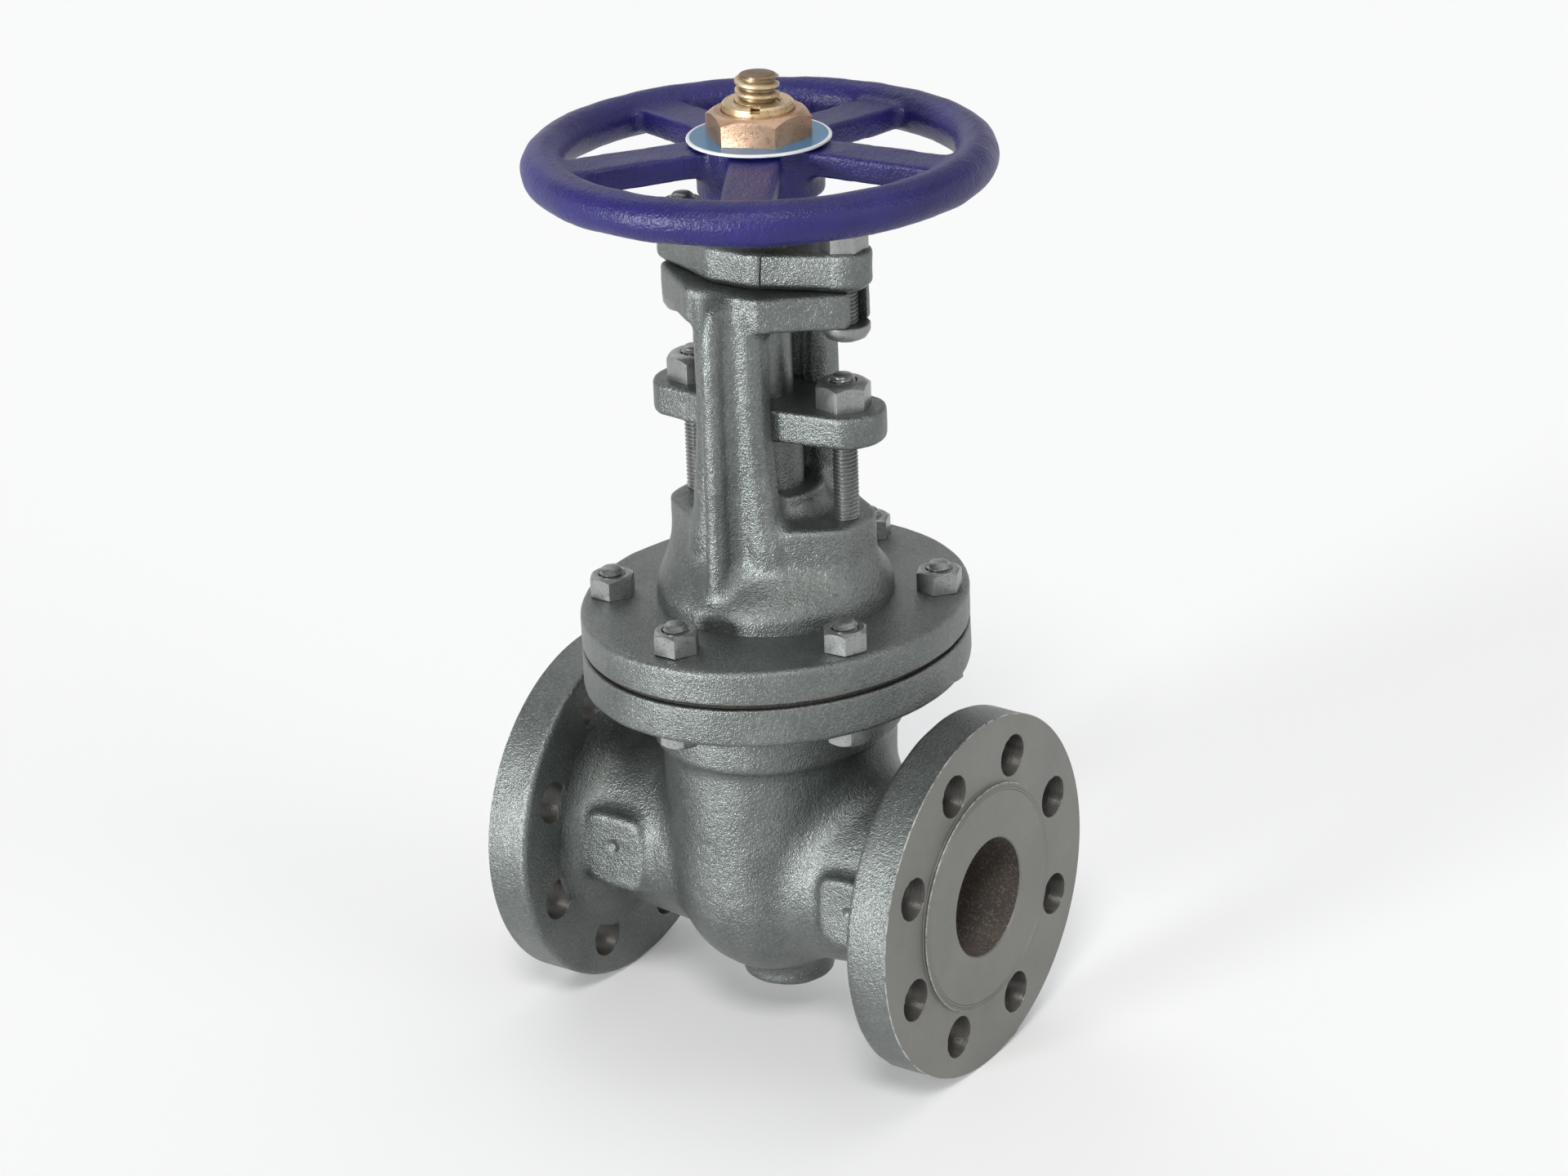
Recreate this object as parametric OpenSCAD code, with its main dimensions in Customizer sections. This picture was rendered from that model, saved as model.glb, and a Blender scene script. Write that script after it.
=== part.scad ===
// Outside screw and yoke gate valve with flanged ends, shown closed.
// Origin: centre of the inlet flange's raised face. +X runs through the valve, +Z up along the stem.
// All sizes are in millimetres.

/* [Pipe ends] */
// Distance between the two raised faces
face_to_face = 215.9; // [180:0.1:260]
// Outside diameter of each pipe flange
flange_d = 165.1; // [140:0.1:200]
// Thickness of each pipe flange, raised face included
flange_thick = 22.2; // [16:0.1:30]
// Diameter of the raised face
raised_face_d = 104; // [90:0.5:108]
// Height of the raised face
raised_face_high = 1.6; // [1:0.1:3]
// Diameter of the waterway
waterway_d = 54; // [45:0.5:60]
// Diameter of the pipe bolt circle
bolt_circle_d = 127; // [120:0.1:150]
// Diameter of the pipe bolt holes
flange_hole_d = 19; // [14:0.1:22]
// Number of pipe bolt holes in each flange
flange_holes = 8; // [4:4:12]

/* [Body] */
// Length of the chest along the pipe
chest_length = 90; // [80:1:98]
// Width of the chest across the pipe
chest_width = 116; // [110:1:117]
// Depth of the chest below the pipe's centre line
chest_depth = 56; // [50:1:62]
// Length of the neck under the bonnet joint
neck_length = 106; // [98:1:112]
// Width of the neck under the bonnet joint
neck_width = 127; // [122:1:130]
// Height of the neck's lower edge above the pipe's centre line
neck_base_height = 62; // [50:1:75]
// Wall of the chest beside and below its cavity
chest_wall = 11; // [8:0.5:14]
// Length of the cavity along the pipe
cavity_length = 50; // [46:1:56]
// Diameter of each port neck beside the chest
port_chest_d = 94; // [84:1:100]
// Diameter of each port neck beside its flange
port_flange_d = 80; // [74:1:88]
// Length of the side pads along the pipe
pad_length = 33; // [24:1:40]
// Height of the side pads
pad_height = 38; // [28:1:46]
// Distance of the pad faces from the pipe's centre line
pad_reach = 47; // [45:0.5:52]
// Diameter of the drain boss
drain_boss_d = 42; // [30:1:48]
// Drop of the drain boss below the chest
drain_boss_drop = 6.5; // [3:0.5:14]

/* [Bonnet joint] */
// Height of the joint above the pipe's centre line
joint_height = 107; // [100:1:125]
// Length of the bonnet joint along the pipe
joint_length = 166; // [158:1:176]
// Width of the bonnet joint across the pipe
joint_width = 187; // [180:1:200]
// Thickness of the body's flange at the joint
body_flange_thick = 18; // [14:0.5:24]
// Thickness of the bonnet's flange at the joint
bonnet_flange_thick = 16; // [12:0.5:22]
// Thickness of the bonnet gasket
gasket_thick = 1.6; // [1:0.1:3]
// Length across the oval of bonnet bolts, along the pipe
bolt_oval_length = 142; // [138:1:148]
// Width across the oval of bonnet bolts
bolt_oval_width = 152; // [148:1:164]
// Diameter of the bonnet bolts
bonnet_bolt_d = 11.1; // [9:0.1:12]
// Width across flats of the bonnet nuts and cap nuts
bonnet_nut_flats = 18.2; // [16:0.1:19]

/* [Bonnet and yoke] */
// Diameter of the dome where it leaves the flange
dome_d = 104; // [98:1:112]
// Height of the stud platforms above the bonnet flange
platform_rise = 42.4; // [36:0.5:54]
// Metal of the stud platforms beyond each gland stud's centre
platform_margin = 8.5; // [8:0.5:12]
// Height of the yoke window
window_height = 89.5; // [84:0.5:110]
// Gap between the inner faces of the two yoke arms
arm_gap = 48; // [47:1:56]
// Thickness of each yoke arm's web
arm_thick = 10; // [8:0.5:14]
// Width of each yoke arm's web
arm_width = 36; // [28:1:42]
// Reach of the outer rib beyond each arm's web
rib_reach = 13; // [8:1:16]
// Thickness of the outer rib
rib_thick = 8; // [6:0.5:12]
// Metal of the yoke bar beyond each cap bolt's centre
bar_margin = 6.5; // [5:0.5:12]
// Thickness of the yoke bar
yoke_bar_thick = 16; // [14:0.5:24]

/* [Gland] */
// Distance between the two gland studs
gland_stud_spacing = 78; // [74:0.5:80]
// Diameter of the gland studs
gland_stud_d = 11.1; // [10:0.1:14]
// Width across flats of the gland nuts
gland_nut_flats = 21.5; // [19:0.1:23]
// Diameter of the gland follower's sleeve
gland_sleeve_d = 28.6; // [27:0.1:32]
// Thickness of the gland follower's plate
gland_plate_thick = 14.5; // [10:0.5:17]
// Width of the gland follower's plate across its middle
gland_plate_width = 44; // [40:1:46]
// Diameter of the gland follower's two lobes
gland_lobe_d = 37; // [32:0.5:39]
// Gap between the platforms and the gland follower's plate
gland_lift = 37; // [30:1:42]

/* [Yoke cap and sleeve] */
// Thickness of the yoke cap
cap_thick = 17; // [13:0.5:22]
// Width of the yoke cap across its middle
cap_width = 53; // [48:1:60]
// Distance between the two cap bolts
cap_bolt_spacing = 83; // [80:0.5:88]
// Diameter of the cap's two lobes
cap_lobe_d = 24; // [22:0.5:27]
// Height of the boss on the cap
cap_boss_high = 8.5; // [6:0.5:12]
// Diameter of the yoke sleeve
sleeve_d = 30.5; // [29:0.5:34]

/* [Handwheel] */
// Outside diameter of the handwheel
wheel_d = 203.2; // [170:0.1:250]
// Diameter of the rim's round section
rim_section_d = 19; // [15:0.5:23]
// Diameter of the hub
hub_d = 55; // [50:1:60]
// Height of the hub
hub_high = 23.5; // [18:0.5:28]
// Width of each spoke
spoke_width = 21.8; // [14:0.1:26]
// Thickness of each spoke
spoke_thick = 10.8; // [9:0.1:15]
// Fall of each spoke from the hub to the rim
spoke_fall = 3; // [0:0.5:4]
// Width across flats of the handwheel nut
wheel_nut_flats = 40.3; // [38:0.1:47]
// Height of the handwheel nut
wheel_nut_high = 11.6; // [8:0.2:16]
// Diameter of the identification plate
plate_d = 62; // [56:1:70]

/* [Stem and wedge] */
// Diameter of the stem's threaded upper part
stem_d = 19; // [16:0.1:20]
// Step between the stem's threaded part and its thicker plain part
stem_step = 1.6; // [1:0.1:2.2]
// Rise of the stem from closed to open
stem_lift = 63.5; // [58:0.5:66]
// Height of the stem's top above the sleeve
stem_stand_out = 11.5; // [8:0.5:40]
// Diameter of the wedge
wedge_d = 72; // [68:0.5:76]
// Thickness of the wedge at its centre
wedge_thick = 17; // [14:0.5:20]
// Slope of each wedge face in degrees
wedge_slope = 5; // [3:0.5:6]

/* [Clearances] */
// Radial clearance of a turning or sliding fit
running_gap = 0.08; // [0.02:0.01:0.1]
// Radial clearance between fixed pieces that are fitted together
fitted_gap = 0.05; // [0.02:0.01:0.1]
// Radial clearance round bolts in their holes
bolt_gap = 0.5; // [0.3:0.1:0.9]
// Clearance between the wedge and its seats
seat_gap = 0.2; // [0.1:0.05:0.5]

/* [Hidden] */
$fn = 64;
stem_x = face_to_face / 2;
stem_plain_d = stem_d + 2 * stem_step;
platform_length = gland_stud_spacing + 2 * platform_margin;
yoke_bar_length = cap_bolt_spacing + 2 * bar_margin;
flange_disc_thick = flange_thick - raised_face_high;
neck_top = joint_height - body_flange_thick;
bonnet_base = joint_height + gasket_thick;
bonnet_top = bonnet_base + bonnet_flange_thick;
platform_top = bonnet_top + platform_rise;
bar_base = platform_top + window_height;
bar_top = bar_base + yoke_bar_thick;
cap_top = bar_top + cap_thick;
boss_top = cap_top + cap_boss_high;
shoulder_high = 5;
shoulder_base = boss_top + 5.5;
hub_base = shoulder_base + shoulder_high;
hub_top = hub_base + hub_high;
plate_thick = 1.2;
nut_base = hub_top + plate_thick;
nut_top = nut_base + wheel_nut_high;
sleeve_top = nut_top + 3.7;
stem_top = sleeve_top + stem_stand_out;
sleeve_base = bar_base + 3;
// The plain part of the stem ends just inside the sleeve, and a wider bore lets it rise.
stem_plain_top = sleeve_base + 1;
sleeve_bore_top = stem_plain_top + stem_lift + 2;
collar_d = sleeve_d + 10;
collar_thick = 10;
collar_gap = 0.3;
collar_base = bar_top - collar_gap - collar_thick;
rim_height = hub_base + hub_high * 0.617;
rim_centre_r = (wheel_d - rim_section_d) / 2;
spoke_count = 5;
first_spoke = -60;
spoke_top = rim_height + 7.6;
wheel_nut_turn = -8.5;
stuffing_floor = platform_top - 9;
stuffing_rise = 10;
stuffing_ring_d = gland_sleeve_d + 18;
gland_plate_base = platform_top + gland_lift;
gland_plate_top = gland_plate_base + gland_plate_thick;
gland_nut_high = 11.5;
gland_stud_depth = 12;
gland_stud_top = gland_plate_top + gland_nut_high + 3;
bonnet_nut_high = 9.5;
bolt_head_high = 7.5;
bolt_stand_out = 3.2;
cap_head_high = 7.5;
cap_head_d = 21;
cap_pad_high = 1.6;
seat_inner_d = waterway_d - 2;
seat_outer_d = waterway_d + 12;
seat_depth = cavity_length / 2 + 7;
nut_turn = 19;
stem_foot = wedge_d / 2 + 8;
// The wedge's boss starts above the seat rings.
wedge_boss_base = seat_outer_d / 2 + 1;
chest_shift = 2.5;
pad_x = (chest_length / 2 + stem_x - flange_thick) / 2 - 2;

// ---- outlines ----

// An oval with many short sides, length along X and width along Y.
module oval(length, width) {
    sides = 96;
    polygon([for (i = [0:sides - 1])
        [length / 2 * cos(360 * i / sides), width / 2 * sin(360 * i / sides)]]);
}

// A rectangle with rounded corners, centred.
module rounded_plate(length, width, corner) {
    polygon([for (q = [0:3]) for (k = [0:4])
        let (turn = 90 * q + 22.5 * k,
             cx = (length / 2 - corner) * (q == 0 || q == 3 ? 1 : -1),
             cy = (width / 2 - corner) * (q < 2 ? 1 : -1))
        [cx + corner * cos(turn), cy + corner * sin(turn)]]);
}

// A lozenge with blunt middle and blunt ends, as the yoke bar, the platforms, the cap and the gland have.
module lozenge(end_x, end_y, middle_x, middle_y) {
    corner = 3;
    polygon([
        [middle_x, -middle_y], [end_x - corner, -end_y], [end_x, corner - end_y],
        [end_x, end_y - corner], [end_x - corner, end_y], [middle_x, middle_y],
        [-middle_x, middle_y], [corner - end_x, end_y], [-end_x, end_y - corner],
        [-end_x, corner - end_y], [corner - end_x, -end_y], [-middle_x, -middle_y]]);
}

// A lozenge that ends in two round lobes.
module lobed_plate(spacing, lobe_d, middle_x, middle_y) {
    reach_x = spacing / 2 + lobe_d / 2 * sin(30) - 0.2;
    reach_y = lobe_d / 2 * cos(30) - 0.2;
    polygon([[middle_x, -middle_y], [reach_x, -reach_y], [reach_x, reach_y], [middle_x, middle_y],
        [-middle_x, middle_y], [-reach_x, reach_y], [-reach_x, -reach_y], [-middle_x, -middle_y]]);
    for (side = [-1, 1]) translate([side * spacing / 2, 0]) circle(d = lobe_d);
}

// ---- shared shapes, all placed from the stem's axis ----

module from_stem() {
    translate([stem_x, 0, 0]) children();
}

// A round bar along +X from near_x to far_x.
module along_pipe(near_x, far_x, d_near, d_far) {
    translate([near_x, 0, 0]) rotate([0, 90, 0]) cylinder(d1 = d_near, d2 = d_far, h = far_x - near_x);
}

// A six-sided piece with its top corners turned off.
module hex_piece(flats, high, base_z) {
    corner_r = flats / sqrt(3);
    cut = corner_r - flats / 2;
    intersection() {
        translate([0, 0, base_z]) cylinder(r = corner_r, h = high, $fn = 6);
        translate([0, 0, base_z]) rotate_extrude()
            polygon([[0, 0], [corner_r + 0.3, 0], [corner_r + 0.3, high - cut * 0.55],
                [flats / 2 + 0.15, high], [0, high]]);
    }
}

module hex_nut(flats, high, base_z, bore_d) {
    difference() {
        hex_piece(flats, high, base_z);
        translate([0, 0, base_z - 1]) cylinder(d = bore_d, h = high + 2);
    }
}

// A straight bolt or stud shank with a small end chamfer.
module shank(d, low_z, high_z) {
    chamfer = d * 0.09;
    translate([0, 0, low_z]) cylinder(d = d, h = high_z - chamfer - low_z);
    translate([0, 0, high_z - chamfer]) cylinder(d1 = d, d2 = d - 2 * chamfer, h = chamfer);
}

function bonnet_bolt_place(i) =
    [bolt_oval_length / 2 * cos(30 + 60 * i), bolt_oval_width / 2 * sin(30 + 60 * i), 0];

module bonnet_bolt_holes(low_z, high_z) {
    for (i = [0:5]) translate(bonnet_bolt_place(i)) translate([0, 0, low_z])
        cylinder(d = bonnet_bolt_d + 2 * bolt_gap, h = high_z - low_z);
}

// ---- body ----

// One pipe end: neck, flange and raised face, on the +X side.
module pipe_end() {
    along_pipe(16, stem_x - flange_thick + 1, port_chest_d, port_flange_d);
    along_pipe(stem_x - flange_thick - 7, stem_x - flange_thick + 0.5, port_flange_d, port_flange_d + 12);
    along_pipe(stem_x - flange_thick, stem_x - raised_face_high, flange_d, flange_d);
    along_pipe(stem_x - raised_face_high - 1, stem_x, raised_face_d, raised_face_d);
    for (side = [-1, 1]) translate([pad_x, 0, 0]) rotate([-90 * side, 0, 0]) translate([0, 0, 20])
        linear_extrude(pad_reach - 20) rounded_plate(pad_length, pad_height, 7);
}

module pipe_end_cuts() {
    along_pipe(seat_depth - 1, stem_x + 1, waterway_d, waterway_d);
    along_pipe(8, seat_depth, seat_outer_d + 2 * fitted_gap, seat_outer_d + 2 * fitted_gap);
    for (i = [0:flange_holes - 1]) rotate([(i + 0.5) * 360 / flange_holes, 0, 0])
        translate([stem_x - flange_thick - 8, 0, bolt_circle_d / 2]) rotate([0, 90, 0])
        cylinder(d = flange_hole_d, h = flange_thick + 9);
    for (side = [-1, 1]) translate([pad_x, side * pad_reach, 0]) rotate([90, 0, 0])
        translate([0, 0, -2]) cylinder(d = 7, h = 4);
}

module chest() {
    intersection() {
        translate([0, 0, -chest_depth - 1]) linear_extrude(chest_depth + neck_base_height + 3)
            oval(chest_length, chest_width);
        union() {
            translate([-60, -chest_width, chest_shift]) cube([120, 2 * chest_width, neck_base_height + 10]);
            translate([-60, 0, chest_shift]) rotate([0, 90, 0])
                cylinder(r = chest_depth + chest_shift, h = 120);
        }
        union() {
            translate([-60, -chest_width, -9]) cube([120, 2 * chest_width, neck_base_height + 20]);
            translate([0, 80, -9]) rotate([90, 0, 0]) cylinder(r = chest_depth - 9, h = 160);
        }
    }
    translate([0, 0, neck_base_height]) linear_extrude(neck_top - neck_base_height + 1)
        oval(neck_length, neck_width);
    translate([0, 0, neck_base_height - 5]) linear_extrude(6)
        oval((neck_length + chest_length) / 2, (neck_width + chest_width) / 2);
}

module chest_cavity() {
    cavity_width = chest_width - 2 * chest_wall;
    cavity_depth = chest_depth - chest_wall;
    intersection() {
        translate([0, 0, -cavity_depth - 1]) linear_extrude(cavity_depth + joint_height + 3)
            oval(cavity_length, cavity_width);
        union() {
            translate([-60, -chest_width, chest_shift]) cube([120, 2 * chest_width, joint_height + 10]);
            translate([-60, 0, chest_shift]) rotate([0, 90, 0])
                cylinder(r = cavity_depth + chest_shift, h = 120);
        }
    }
}

module body() color("slategray") from_stem() {
    difference() {
        union() {
            chest();
            translate([0, 0, -chest_depth - drain_boss_drop])
                cylinder(d = drain_boss_d, h = drain_boss_drop + 14);
            translate([0, 0, neck_top]) linear_extrude(body_flange_thick) oval(joint_length, joint_width);
            pipe_end();
            mirror([1, 0, 0]) pipe_end();
        }
        chest_cavity();
        pipe_end_cuts();
        mirror([1, 0, 0]) pipe_end_cuts();
        bonnet_bolt_holes(neck_top - 1, joint_height + 1);
    }
}

module seat_ring() {
    difference() {
        along_pipe(5, seat_depth, seat_outer_d, seat_outer_d);
        along_pipe(4, seat_depth + 1, seat_inner_d, seat_inner_d);
        wedge_space(seat_gap);
    }
}

module inlet_seat_ring() color("goldenrod") from_stem() mirror([1, 0, 0]) seat_ring();

module outlet_seat_ring() color("goldenrod") from_stem() seat_ring();

// ---- bonnet joint ----

module bonnet_gasket() color("dimgray") from_stem() {
    difference() {
        translate([0, 0, joint_height]) linear_extrude(gasket_thick) oval(joint_length - 5, joint_width - 5);
        translate([0, 0, joint_height - 1]) linear_extrude(gasket_thick + 2)
            oval(cavity_length + 4, chest_width - 2 * chest_wall + 4);
        bonnet_bolt_holes(joint_height - 1, bonnet_base + 1);
    }
}

module bonnet_bolt(i) color("gray") from_stem() translate(bonnet_bolt_place(i)) {
    hex_head_bottom = neck_top - bolt_head_high;
    translate([0, 0, neck_top]) mirror([0, 0, 1]) rotate([0, 0, -nut_turn])
        hex_piece(bonnet_nut_flats, bolt_head_high, 0);
    shank(bonnet_bolt_d, hex_head_bottom + 2, bonnet_top + bonnet_nut_high + bolt_stand_out);
}

module bonnet_nut(i) color("gray") from_stem() translate(bonnet_bolt_place(i))
    rotate([0, 0, nut_turn + 3 * i])
    hex_nut(bonnet_nut_flats, bonnet_nut_high, bonnet_top, bonnet_bolt_d + 2 * fitted_gap);

module bonnet_bolt_1() bonnet_bolt(0);
module bonnet_bolt_2() bonnet_bolt(1);
module bonnet_bolt_3() bonnet_bolt(2);
module bonnet_bolt_4() bonnet_bolt(3);
module bonnet_bolt_5() bonnet_bolt(4);
module bonnet_bolt_6() bonnet_bolt(5);
module bonnet_nut_1() bonnet_nut(0);
module bonnet_nut_2() bonnet_nut(1);
module bonnet_nut_3() bonnet_nut(2);
module bonnet_nut_4() bonnet_nut(3);
module bonnet_nut_5() bonnet_nut(4);
module bonnet_nut_6() bonnet_nut(5);

// ---- bonnet and yoke ----

arm_outer_y = arm_gap / 2 + arm_thick;
rib_outer_y = arm_outer_y + rib_reach;

module dome() {
    r = dome_d / 2;
    translate([0, 0, bonnet_top]) rotate_extrude()
        polygon([[0, -1], [r + 1, -1], [r - 1, 4], [r - 2.5, 14], [r - 6, platform_rise * 0.55],
            [r - 15, platform_rise * 0.77], [r - 29, platform_rise - 1], [0, platform_rise - 1]]);
    translate([0, 0, bonnet_top - 1]) linear_extrude(platform_rise + 1)
        lozenge(platform_length / 2, 14, arm_width / 2, arm_outer_y);
    cylinder(d = stuffing_ring_d, h = platform_top + stuffing_rise);
}

// The arm on the -Y side: a web that widens at its foot, and a rib down its outer face.
module yoke_arm() {
    half = arm_width / 2;
    translate([0, -arm_gap / 2, 0]) rotate([90, 0, 0]) linear_extrude(arm_thick)
        polygon([[-half, bar_top], [-half, platform_top + 32], [-half - 2, platform_top + 12],
            [-half - 6, platform_top - 6], [-half - 6, bonnet_top + 10], [half + 6, bonnet_top + 10],
            [half + 6, platform_top - 6], [half + 2, platform_top + 12], [half, platform_top + 32],
            [half, bar_top]]);
    translate([-rib_thick / 2, 0, 0]) rotate([90, 0, 90]) linear_extrude(rib_thick)
        polygon([[-arm_outer_y + 2, bar_top - 2], [-arm_outer_y - 1, bar_top - 2],
            [-rib_outer_y + 2, bar_base + 8], [-rib_outer_y, bar_base - 10],
            [-rib_outer_y - 1.5, platform_top], [-rib_outer_y - 4, bonnet_top - 1],
            [-arm_outer_y + 2, bonnet_top - 1]]);
}

module bolt_slot(side) {
    r = bonnet_bolt_d / 2 + bolt_gap + 0.3;
    x = cap_bolt_spacing / 2;
    out = yoke_bar_length / 2 + 5;
    translate([0, 0, bar_base - 1]) linear_extrude(yoke_bar_thick + 2) scale([side, 1])
        polygon(concat([[out, r], [x, r]], [for (k = [1:7]) [x - r * sin(22.5 * k), r * cos(22.5 * k)]],
            [[x, -r], [out, -r]]));
}

module bonnet() color("slategray") from_stem() {
    difference() {
        union() {
            translate([0, 0, bonnet_base]) linear_extrude(bonnet_flange_thick)
                oval(joint_length, joint_width);
            difference() {
                dome();
                cylinder(d = 4 * joint_length, h = bonnet_base);
            }
            yoke_arm();
            mirror([0, 1, 0]) yoke_arm();
            translate([0, 0, bar_base]) linear_extrude(yoke_bar_thick)
                lozenge(yoke_bar_length / 2, 14, arm_width / 2, arm_outer_y);
        }
        translate([0, 0, bonnet_base - 1]) linear_extrude(7)
            oval(cavity_length, chest_width - 2 * chest_wall);
        translate([0, 0, bonnet_base]) cylinder(d = 44, h = platform_rise - 20);
        translate([0, 0, bonnet_base]) cylinder(d = stem_plain_d + 2 * running_gap, h = 100);
        translate([0, 0, stuffing_floor]) cylinder(d = gland_sleeve_d + 2 * fitted_gap + 0.3, h = 40);
        for (side = [-1, 1]) translate([side * gland_stud_spacing / 2, 0, platform_top - gland_stud_depth])
            cylinder(d = gland_stud_d + 2 * fitted_gap, h = gland_stud_depth + 1);
        bonnet_bolt_holes(bonnet_base - 1, bonnet_top + 1);
        translate([0, 0, bar_base - 1]) cylinder(d = sleeve_d + 2 * running_gap, h = yoke_bar_thick + 2);
        translate([0, 0, collar_base - collar_gap]) cylinder(d = collar_d + 1, h = yoke_bar_thick);
        bolt_slot(1);
        bolt_slot(-1);
    }
}

// ---- gland ----

module gland_follower() color("slategray") from_stem() {
    difference() {
        union() {
            translate([0, 0, gland_plate_base]) linear_extrude(gland_plate_thick)
                lobed_plate(gland_stud_spacing, gland_lobe_d, 8, gland_plate_width / 2);
            translate([0, 0, platform_top + 1]) cylinder(d = gland_sleeve_d, h = gland_lift + 2);
        }
        translate([0, 0, platform_top]) cylinder(d = stem_plain_d + 2 * running_gap, h = 80);
        for (side = [-1, 1]) translate([side * gland_stud_spacing / 2, 0, gland_plate_base - 1])
            cylinder(d = gland_stud_d + 2 * bolt_gap, h = gland_plate_thick + 2);
    }
}

module gland_stud(side) color("gray") from_stem() translate([side * gland_stud_spacing / 2, 0, 0])
    shank(gland_stud_d, platform_top - gland_stud_depth, gland_stud_top);

module gland_nut(side) color("gray") from_stem() translate([side * gland_stud_spacing / 2, 0, 0])
    rotate([0, 0, nut_turn])
    hex_nut(gland_nut_flats, gland_nut_high, gland_plate_top, gland_stud_d + 2 * fitted_gap);

module gland_stud_left() gland_stud(-1);
module gland_stud_right() gland_stud(1);
module gland_nut_left() gland_nut(-1);
module gland_nut_right() gland_nut(1);

// ---- yoke cap ----

module yoke_cap() color("slategray") from_stem() {
    difference() {
        union() {
            translate([0, 0, bar_top + cap_pad_high]) linear_extrude(cap_thick - cap_pad_high)
                lobed_plate(cap_bolt_spacing, cap_lobe_d, 10, cap_width / 2);
            translate([0, 0, bar_top]) linear_extrude(cap_pad_high + 1)
                lobed_plate(cap_bolt_spacing, cap_lobe_d - 5, 8, cap_width / 2 - 3);
            translate([0, 0, cap_top - 1]) cylinder(d = sleeve_d + 10, h = cap_boss_high + 1);
        }
        translate([0, 0, bar_top - 1])
            cylinder(d = sleeve_d + 2 * running_gap, h = cap_thick + cap_boss_high + 2);
        for (side = [-1, 1]) translate([side * cap_bolt_spacing / 2, 0, bar_top - 1])
            cylinder(d = bonnet_bolt_d + 2 * bolt_gap, h = cap_thick + 2);
    }
}

// A bolt with a round domed head under the yoke bar.
module cap_bolt(side) color("gray") from_stem() translate([side * cap_bolt_spacing / 2, 0, 0]) {
    translate([0, 0, bar_base - cap_head_high]) rotate_extrude()
        polygon([[0, 0], [cap_head_d * 0.28, 0], [cap_head_d * 0.44, 2.6], [cap_head_d / 2, 4.6],
            [cap_head_d / 2, cap_head_high], [0, cap_head_high]]);
    shank(bonnet_bolt_d, bar_base - cap_head_high + 3, cap_top + bonnet_nut_high + bolt_stand_out);
}

module cap_nut(side) color("gray") from_stem() translate([side * cap_bolt_spacing / 2, 0, 0])
    hex_nut(bonnet_nut_flats, bonnet_nut_high, cap_top, bonnet_bolt_d + 2 * fitted_gap);

module cap_bolt_left() cap_bolt(-1);
module cap_bolt_right() cap_bolt(1);
module cap_nut_left() cap_nut(-1);
module cap_nut_right() cap_nut(1);

// ---- turning group ----

module yoke_sleeve() color("goldenrod") from_stem() {
    r = sleeve_d / 2;
    plain_r = stem_plain_d / 2 + running_gap;
    thread_r = stem_d / 2 + running_gap;
    difference() {
        rotate_extrude() polygon([[plain_r, sleeve_base], [r, sleeve_base], [r, collar_base],
            [collar_d / 2, collar_base], [collar_d / 2, collar_base + collar_thick],
            [r, collar_base + collar_thick], [r, shoulder_base], [collar_d / 2, shoulder_base],
            [collar_d / 2, hub_base], [r, hub_base], [r, sleeve_top - 1], [r - 1, sleeve_top],
            [thread_r, sleeve_top], [thread_r, sleeve_bore_top], [plain_r, sleeve_bore_top]]);
        rotate([0, 0, first_spoke]) translate([stem_d / 2 - 1, -2, sleeve_top - 3]) cube([r, 4, 4]);
    }
}

// A flat spoke that starts inside the hub and ends inside the rim.
module spoke() {
    start = sleeve_d / 2 + 4;
    end = rim_centre_r - 1;
    low = spoke_top - spoke_thick;
    rotate([90, 0, 0]) translate([0, 0, -spoke_width / 2]) linear_extrude(spoke_width)
        polygon([[start, low], [hub_d / 2, low], [end, low - spoke_fall], [end, spoke_top - spoke_fall],
            [hub_d / 2, spoke_top], [start, spoke_top]]);
}

module handwheel() color("darkslateblue") from_stem() {
    difference() {
        union() {
            translate([0, 0, rim_height]) rotate_extrude() translate([rim_centre_r, 0])
                circle(d = rim_section_d);
            translate([0, 0, hub_base]) cylinder(d = hub_d, h = hub_high);
            for (i = [0:spoke_count - 1]) rotate([0, 0, first_spoke + i * 360 / spoke_count]) spoke();
        }
        translate([0, 0, hub_base - 1]) cylinder(d = sleeve_d + 2 * fitted_gap, h = hub_high + 2);
    }
}

module identification_plate() color("royalblue") from_stem() {
    difference() {
        translate([0, 0, hub_top]) cylinder(d = plate_d, h = plate_thick);
        translate([0, 0, hub_top - 1]) cylinder(d = sleeve_d + 2 * fitted_gap, h = plate_thick + 2);
    }
}

module handwheel_nut() color("peru") from_stem() rotate([0, 0, wheel_nut_turn])
    hex_nut(wheel_nut_flats, wheel_nut_high, nut_base, sleeve_d + 2 * fitted_gap);

// ---- stem and wedge ----

module stem() color("burlywood") from_stem() {
    translate([0, 0, stem_foot]) cylinder(d = stem_plain_d, h = stem_plain_top - stem_step - stem_foot);
    translate([0, 0, stem_plain_top - stem_step]) cylinder(d1 = stem_plain_d, d2 = stem_d, h = stem_step);
    shank(stem_d, stem_plain_top - 5, stem_top);
}

// The space between the two sloping seats, opened by a gap on each side.
module wedge_space(gap) {
    half = wedge_thick / 2 + gap;
    rise = 60;
    lean = rise * tan(wedge_slope);
    translate([0, 70, 0]) rotate([90, 0, 0]) linear_extrude(140)
        polygon([[-half + lean, -rise], [half - lean, -rise], [half + lean, rise], [-half - lean, rise]]);
}

module wedge() color("goldenrod") from_stem() {
    intersection() {
        along_pipe(-30, 30, wedge_d, wedge_d);
        wedge_space(0);
    }
    translate([0, 0, wedge_boss_base]) cylinder(d = stem_plain_d + 3, h = stem_foot - wedge_boss_base);
}

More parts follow.
